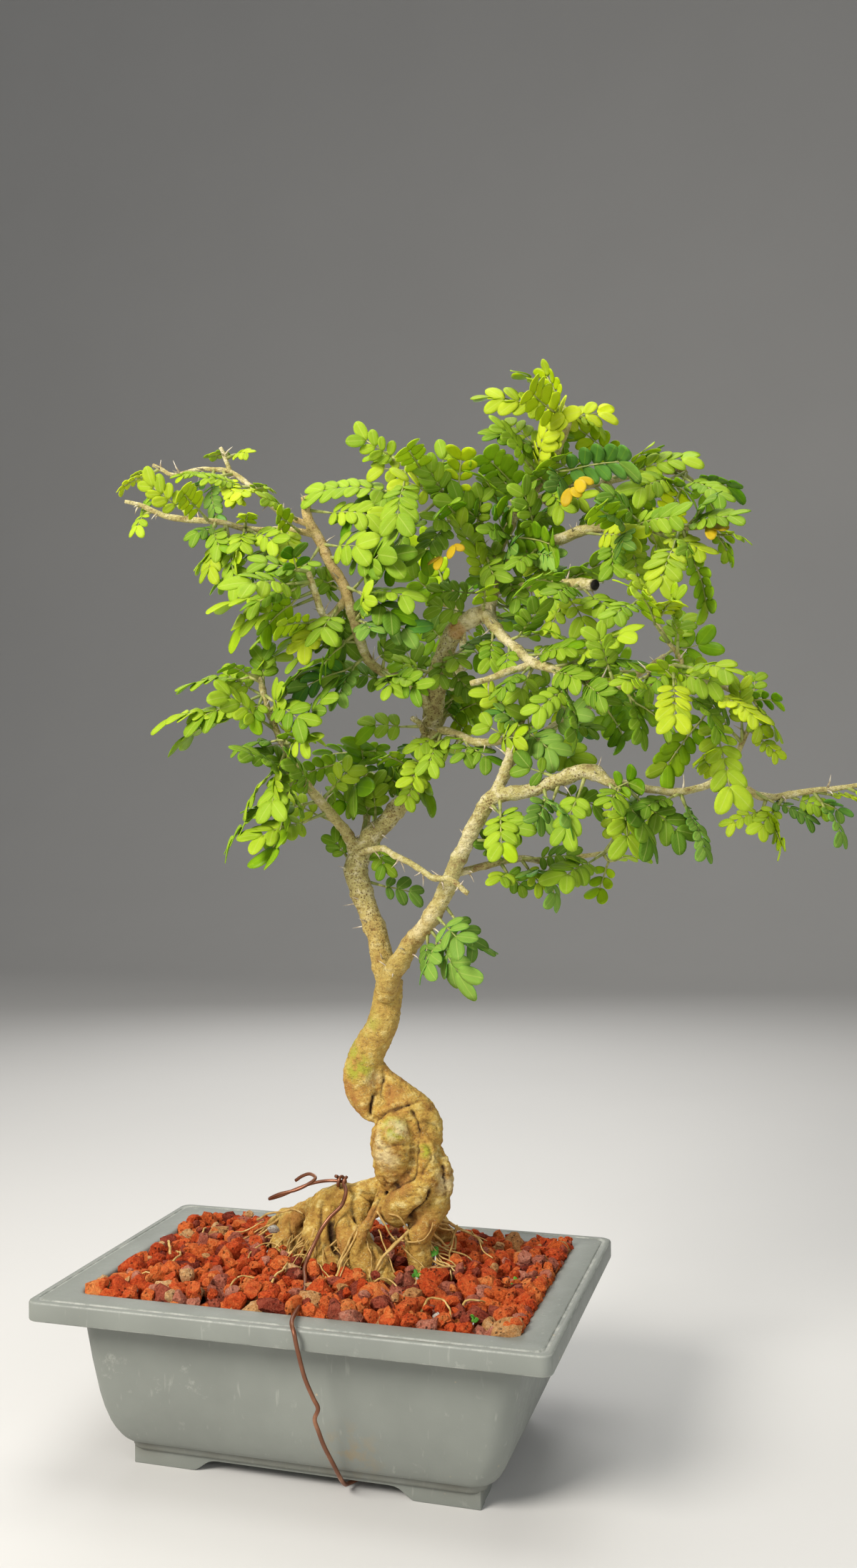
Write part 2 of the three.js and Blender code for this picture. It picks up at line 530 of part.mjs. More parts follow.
// A closed solid under a sheet of triangles, down to the pot's foot plane
function skirted(points, triangles) {
  const count = points.length;
  const index = triangles.flatMap(([a, b, c]) => [a, b, c, a + count, c + count, b + count]);
  const edges = new Set(triangles.flatMap(([a, b, c]) => [`${a},${b}`, `${b},${c}`, `${c},${a}`]));
  for (const edge of edges) {
    const [a, b] = edge.split(',').map(Number);
    if (!edges.has(`${b},${a}`)) index.push(b, a, a + count, b, a + count, b + count);
  }
  const all = [...points, ...points.map(([x, y]) => [x, y, 0])];
  return indexed(all.flat(), index);
}

function buildSoil(cutters) {
  const heap = solid(stoneField()).intersect(solid(loft(potRoom().map(roundedRing))));
  return largestPiece(heap.subtract(join(cutters)));
}

function fineRootBodies(grow) {
  return FINE_ROOTS.map((points) => {
    const tapered = points.map(([x, y, z], i) => [x, y, z, FINE_ROOT_RADIUS * (1.25 - 0.12 * i)]);
    return solid(limbGeometry(tapered, 4, grow));
  });
}

function limbLength(points) {
  const places = points.map(([x, y, z]) => new THREE.Vector3(x, y, z));
  return places.slice(1).reduce((sum, place, i) => sum + place.distanceTo(places[i]), 0);
}

// Pairs of thorns along the thinner wood, each a slim three-sided spike
function thornBodies(grow = 0) {
  const random = seededRandom(11);
  const bodies = [];
  const bearsThorns = (points) => points[0][2] > THORNS_START && points[0][3] < THICKEST_THORNY;
  for (const points of Object.values(LIMBS).filter(bearsThorns)) {
    const pairs = Math.floor(limbLength(points) / THORN_SPACING);
    for (let pair = 0; pair < pairs; pair++) {
      const { middle, radius, along } = pointOnLimb(points, (pair + 0.35 + 0.5 * random()) / pairs);
      const out = new THREE.Vector3(random() - 0.5, random() - 0.5, random() - 0.5).cross(along).normalize();
      for (const side of [-1, 1]) {
        const across = along.clone().cross(out).multiplyScalar(0.75 * side);
        const heading = out.clone().add(across).addScaledVector(along, 0.35).normalize();
        const foot = middle.clone().addScaledVector(heading, radius * 0.3);
        const tip = middle.clone().addScaledVector(heading, radius + THORN_LENGTH * (0.7 + 0.4 * random()));
        const spike = [[...foot.toArray(), THORN_RADIUS], [...tip.toArray(), 0.12]];
        bodies.push(solid(limbGeometry(spike, 3, grow)));
      }
    }
  }
  return bodies;
}

function buildWood(grow) {
  const bodies = Object.values(LIMBS).map((points) => solid(limbGeometry(points, limbSides(points), grow)));
  return join([...bodies, ...fineRootBodies(grow), ...thornBodies(grow)]);
}

// A six-sided wire along a smooth curve through its points
function wireGeometry(points, radius, step) {
  const path = new THREE.CatmullRomCurve3(points.map((p) => new THREE.Vector3(...p)));
  const section = new THREE.Shape();
  section.absarc(0, 0, radius, 0, 2 * Math.PI);
  const steps = Math.round(path.getLength() / step);
  const options = { steps, extrudePath: path, curveSegments: 3, bevelEnabled: false };
  return new THREE.ExtrudeGeometry(section, options);
}

function buildWire(grow) {
  const radius = WIRE_RADIUS + grow;
  const coil = [];
  for (let i = 0; i <= KNOT_TURNS * 8; i++) {
    const turn = (2 * Math.PI * i) / 8;
    const [x, y, z] = KNOT_CENTRE;
    coil.push([x - 2.5 + i * 0.3, y + KNOT_RADIUS * Math.sin(turn), z + KNOT_RADIUS * Math.cos(turn)]);
  }
  return join([
    solid(wireGeometry(WIRE_RUN, radius, WIRE_STEP)),
    solid(wireGeometry(WIRE_BOW, radius * 0.85, WIRE_STEP)),
    solid(wireGeometry(coil, radius * 0.85, WIRE_STEP * 0.6)),
  ]);
}

// The outline of one pinna and its stalk: leaflets cut to the rib, as [along, across] in mm
function pinnaOutline(length, pairs, stalk) {
  const right = [];
  const ribEnd = 0.8 * length;
  for (let k = 0; k < pairs; k++) {
    const last = k === pairs - 1;
    const middle = ribEnd * (k + 0.55) / pairs;
    const lean = THREE.MathUtils.degToRad(last ? 38 : 62 - 8 * k);
    const reach = length * (0.3 + 0.12 * k / (pairs - 1)) * (pairs === 2 ? 1.12 : 1);
    const wide = reach * 0.3;
    const put = (u, v) => right.push([
      middle + u * reach * Math.cos(lean) + v * wide * Math.sin(lean),
      u * reach * Math.sin(lean) - v * wide * Math.cos(lean),
    ]);
    put(0.76, -1);
    put(0.96, last ? 0.5 : 0.75);
    if (!last) right.push([ribEnd * (k + 1) / pairs, RIB_HALF_WIDTH]);
  }
  const left = right.map(([s, w]) => [s, -w]).reverse();
  return [[-stalk, RIB_HALF_WIDTH], [0, RIB_HALF_WIDTH], ...right, [ribEnd, 0],
    ...left, [0, -RIB_HALF_WIDTH], [-stalk, -RIB_HALF_WIDTH]];
}

// A thin arched blade over an outline, split into triangles alike on both faces
function bladeGeometry(outline, length, frame, grow) {
  const flat = outline.map(([s, w]) => new THREE.Vector2(s, w)).reverse();
  const faces = THREE.ShapeUtils.triangulateShape(flat, []);
  const count = flat.length;
  const half = BLADE_THICKNESS / 2 + grow;
  const points = [-half, half].flatMap((level) => flat.map(({ x, y }) => {
    const t = Math.min(1, Math.max(0, x / length));
    const lift = 4 * ARCH * length * t * (1 - t) - DROOP * y * y / length;
    return frame.origin.clone().addScaledVector(frame.along, x)
      .addScaledVector(frame.side, y).addScaledVector(frame.face, lift + level);
  }));
  const index = [];
  for (const face of faces) {
    const turnsLeft = THREE.ShapeUtils.area(face.map((i) => flat[i])) > 0;
    const [a, b, c] = turnsLeft ? face : face.toReversed();
    index.push(a, c, b, a + count, b + count, c + count);
  }
  for (let i = 0; i < count; i++) {
    const next = (i + 1) % count;
    index.push(i, next, next + count, i, next + count, i + count);
  }
  return indexed(points.flatMap((p) => p.toArray()), index);
}

const CROWN_MIDDLE = new THREE.Vector3(45, 10, 300);

// The frame of a pinna: its face looks up and out of the crown
function pinnaFrame(origin, along, random) {
  const outward = origin.clone().sub(CROWN_MIDDLE).setZ(0).normalize();
  const face = new THREE.Vector3(random() - 0.5, random() - 0.5, random() - 0.5).multiplyScalar(1.5);
  face.addScaledVector(outward, 0.5);
  face.z += 0.7;
  face.addScaledVector(along, -face.dot(along)).normalize();
  const side = face.clone().cross(along);
  return { origin, along, side, face };
}

// One leafy spray: a stem off the limb, and from its fork a pinna on its own stalk to each tip
function sprayBodies([limbName, at, , seed, tips], grow = 0) {
  const random = seededRandom(seed);
  const { middle, radius } = pointOnLimb(LIMBS[limbName], at);
  const ends = tips.map(([x, y, z]) => new THREE.Vector3(
    x + (random() - 0.5) * 5, y + (random() - 0.5) * 9, z + (random() - 0.5) * 5,
  ));
  const heart = ends.reduce((sum, end) => sum.add(end), new THREE.Vector3()).divideScalar(ends.length);
  const reach = heart.distanceTo(middle);
  const fork = middle.clone().lerp(heart, Math.max(0.22, (radius + 4) / reach));
  const start = middle.clone().lerp(fork, (radius + GAP) / fork.distanceTo(middle));
  const stem = [[...start.toArray(), STEM_RADIUS], [...fork.toArray(), STEM_RADIUS * 1.2]];
  const bodies = [solid(limbGeometry(stem, 4, grow))];
  for (const end of ends) {
    const span = end.distanceTo(fork);
    const length = Math.min(LONGEST_PINNA, Math.max(SHORTEST_PINNA, span * 0.86));
    const stalk = Math.max(0, span - length);
    const along = end.clone().sub(fork).normalize();
    const origin = fork.clone().addScaledVector(along, stalk);
    const outline = pinnaOutline(length, length < LONG_PINNA ? 2 : 3, stalk + 0.2);
    bodies.push(solid(bladeGeometry(outline, length, pinnaFrame(origin, along, random), grow)));
  }
  return bodies;
}

function buildSpray(row, thickWood) {
  return largestPiece(join(sprayBodies(row)).subtract(thickWood));
}

const bonsai = new THREE.Group();

function addPart(name, body, color, roughness, metalness = 0) {
  const tidied = body.asOriginal().simplify(name.startsWith('spray') ? LEAF_TOLERANCE : SURFACE_TOLERANCE);
  const material = new THREE.MeshStandardMaterial({ color, roughness, metalness });
  const mesh = new THREE.Mesh(geometryOf(tidied), material);
  mesh.name = name;
  bonsai.add(mesh);
}

const thickWood = buildWood(GAP);

addPart('pot', buildPot(), POT_GREY, 0.55);
addPart('lava_rock_soil', buildSoil([thickWood, buildWire(GAP)]), LAVA_RED, 0.95);
addPart('trunk_and_branches', buildWood(0), BARK_TAN, 0.85);
addPart('copper_wire', buildWire(0), COPPER, 0.4, 0.8);
SPRAYS.forEach((row, i) => {
  const name = `spray_${String(i + 1).padStart(2, '0')}`;
  addPart(name, buildSpray(row, thickWood), LEAF_TONES[row[2]], 0.5);
});

const middle = new THREE.Box3().setFromObject(bonsai).getCenter(new THREE.Vector3());
bonsai.position.set(-middle.x, -middle.y, 0);

export default bonsai;
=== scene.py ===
"""The looks of a texas ebony bonsai: bark, roots, leaflets, lava stones, copper wire and a plastic pot.

Lengths in the tables are millimetres from the middle of the pot's foot plane, +X along the pot to the
right, +Y away from its front and +Z up. Each piece is moved to the frame, in metres, when it is finished.
"""

import math

import bmesh
import bpy
import numpy as np
from bpy.props import FloatProperty, FloatVectorProperty, IntProperty, PointerProperty
from mathutils import Matrix, Vector, noise
from mathutils.bvhtree import BVHTree


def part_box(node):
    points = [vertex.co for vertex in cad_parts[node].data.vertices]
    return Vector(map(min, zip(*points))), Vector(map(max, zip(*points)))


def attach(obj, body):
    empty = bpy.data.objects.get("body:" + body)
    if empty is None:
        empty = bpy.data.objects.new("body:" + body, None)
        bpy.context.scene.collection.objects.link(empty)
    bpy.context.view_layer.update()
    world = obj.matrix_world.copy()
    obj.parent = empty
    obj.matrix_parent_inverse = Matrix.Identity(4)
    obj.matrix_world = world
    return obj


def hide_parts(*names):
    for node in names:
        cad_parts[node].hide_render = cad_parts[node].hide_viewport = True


bl_info = {
    "name": "Potted bonsai tree",
    "version": (1, 0, 0),
    "blender": (4, 5, 0),
    "location": "View3D > Sidebar > Bonsai",
    "description": "Grows the bark, leaflets, stones, wire and pot of a small thorny bonsai",
    "category": "Object",
}

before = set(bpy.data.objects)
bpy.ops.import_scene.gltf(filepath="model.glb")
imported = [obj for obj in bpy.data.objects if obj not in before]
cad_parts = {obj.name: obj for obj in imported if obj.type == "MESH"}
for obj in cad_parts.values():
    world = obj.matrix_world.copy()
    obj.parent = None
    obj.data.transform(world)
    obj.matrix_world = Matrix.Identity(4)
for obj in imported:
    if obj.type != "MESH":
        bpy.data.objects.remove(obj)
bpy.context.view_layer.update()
POT_LOW, POT_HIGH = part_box("pot")
POT_MIDDLE = Vector(((POT_LOW.x + POT_HIGH.x) / 2, (POT_LOW.y + POT_HIGH.y) / 2, 0))
MM = 0.001

# The wood: each limb is a list of points on its middle line, (x, y, z, radius)
LIMBS = {
    "trunk": [
        (21, 8, 185, 5.6), (20, 8, 176, 5.8), (18, 8, 167, 6.4), (12, 8, 158, 7), (9, 8, 150, 7.6),
        (9, 8, 141, 7.7), (14, 9, 133, 7.6), (22, 11, 129, 7.6), (30, 12, 125, 7.4), (34, 12, 119, 6.4),
    ],
    "knob": [(30, 6, 131, 5.2), (23, 4, 125, 8.6), (23, 3, 117, 8.6), (24, 4, 108, 7.8), (26, 8, 100, 6)],
    "left_strand": [
        (37, 6, 120, 5.2), (39, 2, 112, 6.2), (34, 0, 103, 6.4), (26, 0, 95, 6.5), (20, 4, 87, 5.2),
    ],
    "right_strand": [
        (36, 12, 122, 5.8), (41, 10, 114, 5.8), (42, 9, 105, 6), (39, 8, 95, 5.8), (35, 7, 88, 5.5),
        (34, 5, 80, 5.2), (34, 2, 71, 5.1), (36, 0, 58, 4.8),
    ],
    "ridge": [
        (34, 9, 116, 3.2), (29, 9.4, 109.5, 4.4), (24, 10, 104, 5), (14, 14, 98, 5), (6, 12, 94, 6.4),
        (-5, 12, 92, 5.9), (-17, 16, 85, 5.6),
        (-31, 22, 78, 4.9),
    ],
    "front_root": [
        (10, 8, 94, 4.7), (5, 3, 86, 6.6), (10, -3, 78, 7.3), (20, -8, 70, 6.8), (28, -14, 64, 5.6),
        (32, -17, 56, 4.6),
    ],
    "middle_root": [
        (-5, 10, 94, 4.7), (-8, 8, 88, 6.6), (-8, 4, 80, 7.5), (-2, -3, 70, 7.2), (5, -12, 62, 5.6),
        (8, -15, 55, 4.6),
    ],
    "left_root": [
        (-17, 16, 84, 4.4), (-25, 16, 80, 6), (-26, 12, 71, 6.6), (-18, 4, 63, 5.9), (-15, 1, 55, 4.8),
    ],
    "far_left_root": [(-25, 20, 81, 4.9), (-34, 26, 77, 4.6), (-42, 30, 69, 3.7), (-46, 33, 58, 2.8)],
    "back_root": [
        (37, 8, 104, 3.6), (35.5, 10.5, 98, 4.6), (34, 14, 92, 4.9), (35, 28, 79, 4.6), (36, 40, 68, 3.8),
        (37, 47, 57, 3.1),
    ],
    "strand_root": [(18, 7, 101, 2.6), (18, -2, 94, 2.4), (14, -8, 86, 2.2), (12, -10, 78, 2)],
    "left_leader": [
        (21, 8, 180, 5.4), (18, 10, 190, 4.8), (15, 12, 200, 4.4), (11, 14, 209, 4.4), (7, 16, 218, 4.6),
        (4, 17, 226, 4.9), (4, 18, 232, 5), (10, 20, 243, 4.3), (16, 21, 249, 3.9), (24, 22, 258, 3.7),
        (30, 24, 268, 3.7), (34, 24, 279, 3.9), (35, 24, 288, 4.2), (37, 22, 299, 4.2), (40, 20, 311, 4),
        (44, 18, 321, 3.8), (49, 16, 328, 3.7), (56, 14, 332, 3.5), (65, 14, 334, 3.1),
    ],
    "top_leader": [
        (62, 14, 332, 3.2), (63, 18, 343, 2.9), (62, 24, 355, 2.8), (66, 28, 368, 2.7), (76, 26, 381, 2.5),
        (86, 22, 392, 2.3), (93, 18, 403, 2), (97, 16, 413, 1.1),
    ],
    "right_leader": [
        (20, 4, 178, 4.6), (24, 0, 187, 4.3), (30, -2, 195, 3.9), (36, -4, 203, 3.5), (42, -6, 209, 3.5),
        (47, -8, 217, 3.5), (52, -9, 227, 3.3), (59, -12, 240, 3), (64, -14, 249, 3), (70, -17, 257, 3),
        (77, -19, 259, 2.8), (86, -20, 260, 2.6), (97, -22, 264, 2.5), (106, -25, 267, 2.9),
        (112, -26, 266, 2.8), (117, -27, 263, 1.9), (122, -27, 262, 1.6),
    ],
    "right_tip": [
        (119, -27, 263, 1.6), (133, -24, 260, 1.4), (142, -20, 259, 1.4), (150, -15, 261, 1.3),
        (158, -10, 264, 1.4), (165, -8, 260, 1.3), (172, -6, 257, 1.4), (189, -6, 259, 1.1),
        (205, -5, 261, 0.8),
    ],
    "riser": [
        (70, -17, 256, 2.2), (75, -16, 265, 2.3), (77, -14, 272, 2.2), (78, -3, 285, 1.8), (79, 6, 291, 1.4),
    ],
    "side_twig": [
        (52, -8, 228, 1.6), (60, -6, 230, 1.5), (67, -2, 232, 1.4), (77, 4, 234, 1.3), (88, 8, 232, 1.1),
        (98, 10, 234, 1), (109, 12, 236, 0.8),
    ],
    "tip_shoot": [(157, -10, 263, 1.2), (162, -12, 272, 1.1), (166, -14, 281, 0.9), (169, -14, 287, 0.8)],
    "dead_twig": [
        (6, 15, 236, 1.5), (19, 4, 238, 1.3), (29, -6, 235, 1.3), (41, -16, 231, 1.2), (48, -22, 228, 1.2),
        (57, -27, 227, 1.1), (64, -28, 222, 1),
    ],
    "low_left": [
        (4, 18, 233, 3), (1, 15, 243, 2.4), (-2, 10, 249, 2.2), (-6, 4, 256, 2.1), (-9, -2, 262, 1.9),
        (-13, -6, 270, 1.7), (-17, -8, 278, 1.6), (-20, -10, 285, 1.6), (-24, -12, 297, 1.4),
        (-27, -12, 308, 1.2),
    ],
    "rear_riser": [
        (5, 19, 236, 2), (4, 28, 246, 1.6), (2, 38, 258, 1.6), (-2, 46, 271, 1.4), (-8, 52, 284, 1.2),
    ],
    "middle_arm": [
        (34, 24, 283, 2.1), (42, 16, 286, 1.8), (52, 8, 283, 1.7), (61, 2, 280, 1.6), (73, -6, 280, 1.4),
        (83, -12, 279, 1.1),
    ],
    "high_arm": [
        (36, 22, 292, 2.6), (32, 14, 303, 2.2), (26, 8, 307, 2), (19, 2, 311, 2), (16, -4, 316, 1.9),
        (13, -8, 329, 2.3), (8, -8, 344, 2.2), (2, -8, 354, 2.1), (-2, -8, 363, 2.2), (-7, -8, 372, 2.1),
        (-8, -8, 381, 1.9),
    ],
    "long_arm": [
        (-3, -8, 365, 1.5), (-16, -9, 368, 1.2), (-31, -10, 369, 1.2), (-47, -12, 373, 1.2),
        (-57, -14, 374, 1.3), (-67, -16, 376, 1.2), (-76, -18, 380, 1), (-83, -20, 382, 0.7),
    ],
    "arch_arm": [
        (-5, -8, 369, 1.3), (-22, -2, 377, 1), (-37, 6, 390, 1.1), (-50, 10, 399, 1.1), (-64, 10, 401, 0.9),
        (-75, 8, 399, 0.9), (-85, 8, 404, 0.8),
    ],
    "arch_stub": [(-49, 10, 398, 1.1), (-51, 9, 404, 0.9), (-53, 8, 409, 0.8)],
    "short_arm": [(10, -6, 341, 1.5), (4, -16, 330, 1.4), (1, -22, 340, 1.4), (0, -26, 347, 1.1)],
    "bow_arm": [
        (61, 13, 333, 2.7), (71, 4, 322, 2.1), (79, -2, 315, 2), (85, -8, 310, 1.9), (93, -14, 307, 1.8),
        (102, -18, 303, 1.6), (116, -22, 299, 1.4), (131, -24, 298, 1.3), (143, -24, 299, 1.2),
        (155, -22, 298, 1), (165, -20, 293, 0.9),
    ],
    "bow_twig": [(86, -7, 310, 1.5), (78, -10, 307, 1.4), (69, -12, 304, 1.2), (62, -14, 302, 1.1)],
    "shoulder": [
        (61, 24, 352, 2.3), (75, 20, 358, 2.2), (93, 12, 361, 2.3), (108, 6, 363, 2), (127, 0, 360, 1.6),
        (144, -4, 359, 1.3), (154, -6, 359, 1.1),
    ],
    "rear_shoulder": [
        (72, 27, 378, 2.2), (90, 34, 385, 1.8), (107, 42, 390, 1.6), (124, 48, 394, 1.5), (139, 50, 393, 1.2),
    ],
    "cut_stub": [(62, 20, 343, 2), (86, 6, 342, 1.7), (100, -4, 340, 2.2), (110, -10, 338, 2.3)],
    "left_top_arm": [
        (63, 24, 354, 2.1), (55, 16, 366, 1.8), (49, 8, 376, 1.6), (42, 0, 386, 1.4), (34, -4, 392, 1.1),
    ],
    "back_arm": [
        (33, 24, 280, 2.6), (35, 42, 295, 2.2), (38, 56, 311, 1.9), (38, 66, 328, 1.6), (33, 74, 346, 1.3),
    ],
    "back_right_arm": [
        (76, -15, 270, 1.9), (85, 10, 283, 1.6), (98, 34, 295, 1.5), (114, 52, 308, 1.4), (128, 62, 318, 1.2),
    ],
    "thorn_twig": [(34, 24, 281, 1.5), (33, 16, 288, 1.2), (31, 10, 291, 1.2)],
    "trail": [
        (130, -24, 298, 1), (134, -26, 304, 0.8), (144, -29, 305, 0.8), (139, -30, 314, 0.8),
        (131, -32, 329, 0.7),
    ],
}
# The folds and lobes of the trunk's skin over those limbs
TRUNK_FORMS = [
    [
        (21, 8, 185, 5.6), (20, 8, 176, 5.8), (18, 8, 167, 6.4), (13, 8, 158, 6.9), (10, 7, 151, 7.2),
        (9, 6, 145.5, 7.4), (9.6, 6, 140, 7.4), (12.3, 5, 135.4, 6.6), (15, 4.5, 131.6, 5.2),
        (17.5, 4.5, 129.6, 3.8),
    ],
    [
        (15, 8, 149, 3.6), (17.6, 8, 144.2, 4.8), (21.2, 8, 139.4, 6.5), (26.7, 8, 135, 7.4),
        (32.4, 8, 130.4, 7.6), (36, 8, 126.3, 6.6), (37.1, 7.4, 122.9, 6), (37, 7, 117, 4.6),
        (38, 7, 112, 4.6),
    ],
    [
        (18, 2.5, 129.6, 3.2), (21, 2, 131.1, 4), (25.2, 3, 133.1, 4.6), (30.3, 4, 134.1, 4.4),
        (34.2, 5, 132.3, 4),
    ],
    [
        (26, 4, 133.5, 3), (25, 3, 131, 5.6), (24.3, 2, 127.3, 7.8), (24.2, 1, 122.4, 9.3),
        (24, 1.2, 118, 9.4),
        (24.2, 2.2, 114, 8.7), (23.2, 3, 109.8, 8), (22.5, 4, 104.9, 6.2), (22, 5, 101, 3.6),
    ],
    [
        (34.6, 3, 124, 2.2), (35.6, 2, 121.1, 3.8), (37.7, 1, 117.5, 4.8), (37.6, 1, 112.4, 5.2),
        (37, 2, 107, 5),
    ],
    [(31, 9, 120, 4), (31, 8, 110, 5), (30, 8, 101, 5)],
    [
        (38.4, 3, 115.4, 4.6), (37.9, 2, 111.6, 6), (37, 1, 106.1, 6.8), (32.4, 0, 99.8, 7),
        (26.7, 1, 94.6, 6.9),
        (21.8, 3, 89.7, 5),
    ],
    [
        (38.8, 8, 119.4, 2.2), (39.6, 7.6, 116.6, 3), (40.6, 7, 113.4, 4), (41.5, 6, 108.5, 6),
        (40.8, 6, 102.2, 6.6), (39.2, 5, 95, 6.4), (36.2, 3, 88.5, 6),
        (34.4, 1, 83.8, 5.2), (34.6, 0, 78, 4.8), (35.4, -1, 69.9, 4.6), (37, -2, 58, 4.4),
    ],
    [(43.6, 5, 114.6, 2.2), (44.7, 4, 109.3, 2.4), (45.3, 4, 103.6, 2.2), (44.9, 4, 99.6, 1.6)],
    [(33.4, 4, 132.5, 3.6), (34.6, 4, 127.4, 4.4), (34.2, 4.4, 122.4, 3.8)],
]
BRAIDED_LIMBS = ("trunk", "knob", "left_strand", "right_strand")
TRUNK_LIMBS = (
    "trunk", "knob", "left_strand", "right_strand", "ridge", "front_root", "middle_root", "left_root",
    "far_left_root", "back_root", "strand_root",
)
LEADING_LIMBS = ("left_leader", "top_leader", "right_leader", "low_left", "bow_arm", "riser")

# Fine roots that run from the root mass over the stones and into them
FINE_ROOTS = [
    [(8, 2, 86), (8, -6, 83), (6, -9, 77), (3, -13, 68), (3, -14, 58)],
    [(32, 4, 87), (30, -7, 85), (23, -13, 77), (20, -17, 69), (18, -18, 58)],
    [(36, 9, 86), (41, 17, 84), (44, 21, 77), (45, 16, 70), (48, 8, 60)],
    [(40, 12, 88), (45, 30, 78), (50, 36, 73), (54, 34, 68), (58, 30, 58)],
    [(-9, 11, 92), (-22, 17, 88), (-36, 20, 78), (-47, 22, 69), (-55, 22, 58)],
    [(-10, 5, 80), (-20, 0, 73), (-25, -8, 68), (-25, -16, 58)],
    [(-20, 20, 82), (-22, 32, 74), (-18, 42, 66), (-15, 46, 57)],
]

# Thin pale roots that cross the root mass and lie on the stones
SURFACE_ROOTS = [
    [(40.1, 2, 90.2), (41.8, 8, 85.2), (43.7, 12, 83), (47.1, 18, 82.1), (51.2, 22, 78.9), (56.7, 24, 76.4)],
    [(46.2, 14, 84.9), (45.4, 12, 78.6), (46.4, 4, 74), (50.3, -8, 70.1)],
    [(38.3, 2, 87.8), (40.6, 6, 82.3), (43, 12, 77.2), (45, 16, 80.8), (46.8, 14, 85)],
    [(27, -4, 83.4), (32.4, -6, 83.3), (37.5, -5.5, 84.4), (40.9, -4, 87), (41.2, -2, 90.3)],
    [(18.7, -4, 93.7), (21.4, -5, 89.7), (24.4, -6, 86.3), (27.4, -7, 83.7)],
    [(27.9, -7, 83.5), (25.3, -9, 80), (23.2, -12.5, 75.9), (22.4, -19, 71.3)],
    [(19.6, -5, 86.7), (23.5, -8, 80.6), (27.7, -12, 75.6), (31, -17, 71.4)],
    [(10.6, -3.3, 87.3), (15.6, -7.4, 82.1), (18.7, -11.5, 77.4), (20.2, -18.4, 71.5)],
    [(10.3, -4.2, 86.9), (8.5, -9.6, 81.6), (5.7, -8.5, 75.4), (7.4, -14.9, 72)],
    [(29.4, -6, 81.6), (33.5, -6, 77.5), (37.6, -6, 74.5), (41.1, -8, 72.1)],
    [(40.5, -0.3, 71.2), (44.8, -5, 70.9), (49.6, -1.2, 70.6), (55.4, 5.5, 70.1)],
    [(23.1, -27.8, 70.5), (25.8, -23.9, 70.8), (30.2, -23.2, 70.7), (35, -24.1, 70.3)],
    [
        (47.2, -40.1, 67.5), (48.8, -34.4, 68.2), (52.7, -32.5, 68.2),
        (57.2, -36.7, 67.2), (60.3, -43.9, 66.5),
    ],
    [(-43.8, 20, 78.7), (-38, 19, 82.2), (-31.9, 17, 83.8), (-24.4, 13, 86.4), (-18.7, 10, 85.8)],
    [(-61.1, 24, 69.8), (-54.7, 19, 69.6), (-50.5, 20, 72.1), (-46.9, 21, 75.1), (-40.5, 20, 78.3)],
    [(-34.6, -12.4, 71.3), (-34.9, -3.3, 71.5), (-32.1, 3.6, 71.7), (-26.5, 2.3, 71.9), (-19, -6.5, 72.1)],
    [
        (-14.2, -35.5, 69.8), (-14.7, -28.5, 70.7), (-13.3, -23.3, 71.2), (-16, -10.9, 72.1),
        (-12.1, -6.9, 72.3), (-1.9, -15.7, 72), (10.8, -27.3, 70.9),
    ],
    [(-27.2, -46, 67.6), (-28.6, -37.7, 68.9), (-27, -30.7, 70), (-20.9, -28.1, 70.5)],
    [(-61, -31.6, 67.6), (-62.5, -22.5, 68.4), (-64, -12.2, 69), (-72.4, 0.5, 68.4)],
    [(-72.8, -34.8, 66.5), (-69, -31.3, 66.8), (-64.9, -29.6, 67.4)],
    [(-67.1, -13.6, 68.6), (-75.5, 0.8, 68.1), (-83.7, 15.3, 66.6)],
    [(-65.2, 8.1, 69.1), (-70.6, 24.1, 67.4), (-70, 30.6, 66.8)],
    [(-18.8, 2, 70), (-18.3, 4, 75.9), (-15.5, 5, 81.1), (-11.7, 5, 86)],
    [(-8.8, -2.5, 84.4), (-10.5, -4.4, 78.5), (-14.6, -0.5, 72.3), (-11.4, -11.6, 72.1)],
    [(7.6, -22, 68.8), (7.2, -16, 72.9), (8.2, -12, 77.8), (10.7, -9, 82.7), (11.5, -6, 87)],
    [(24.3, -5.6, 93.5), (28.8, -5.6, 92.1), (31.3, -2.5, 86.9), (36.6, -4.4, 82.3)],
    [(60.9, -38.4, 66.6), (62.3, -31.5, 67.4), (66, -28.9, 67.4), (69.2, -24.1, 67.6)],
    [(50.1, 24, 80), (54.2, 22, 76.8), (56.4, 18, 74.1), (61, 16, 72.3)],
]

# The wire: its run over stones, rim and wall, its bow, and its knot
WIRE_RUN = [
    (0.9, 6.2, 100.6), (3.6, 1.4, 98.6), (3.4, -3.6, 94.6), (-0.6, -5.6, 90.4), (-3.6, -7.6, 86),
    (-6.2, -9.4, 80), (-8, -12, 75), (-7, -18, 72.6), (-3.1, -27, 72), (2, -42, 70.8), (4, -54, 70.1),
    (6.6, -64.5, 70.3), (9.4, -69, 68.2), (10.4, -68.8, 63), (11.6, -66.5, 54), (12.8, -65.5, 49.3),
    (14.6, -64, 43.8), (15.9, -63, 40), (14.2, -62, 35.6), (14.9, -60, 30.4), (15.8, -57, 24),
    (17.4, -51.6, 15), (18, -47, 8.6), (18.2, -42.4, 4), (18.6, -38, 2.4), (24, -28, 2.3), (34, -14, 2.3),
    (42, -4, 2.6),
    (44.6, -0.6, 5), (45, 0, 8.8),
]
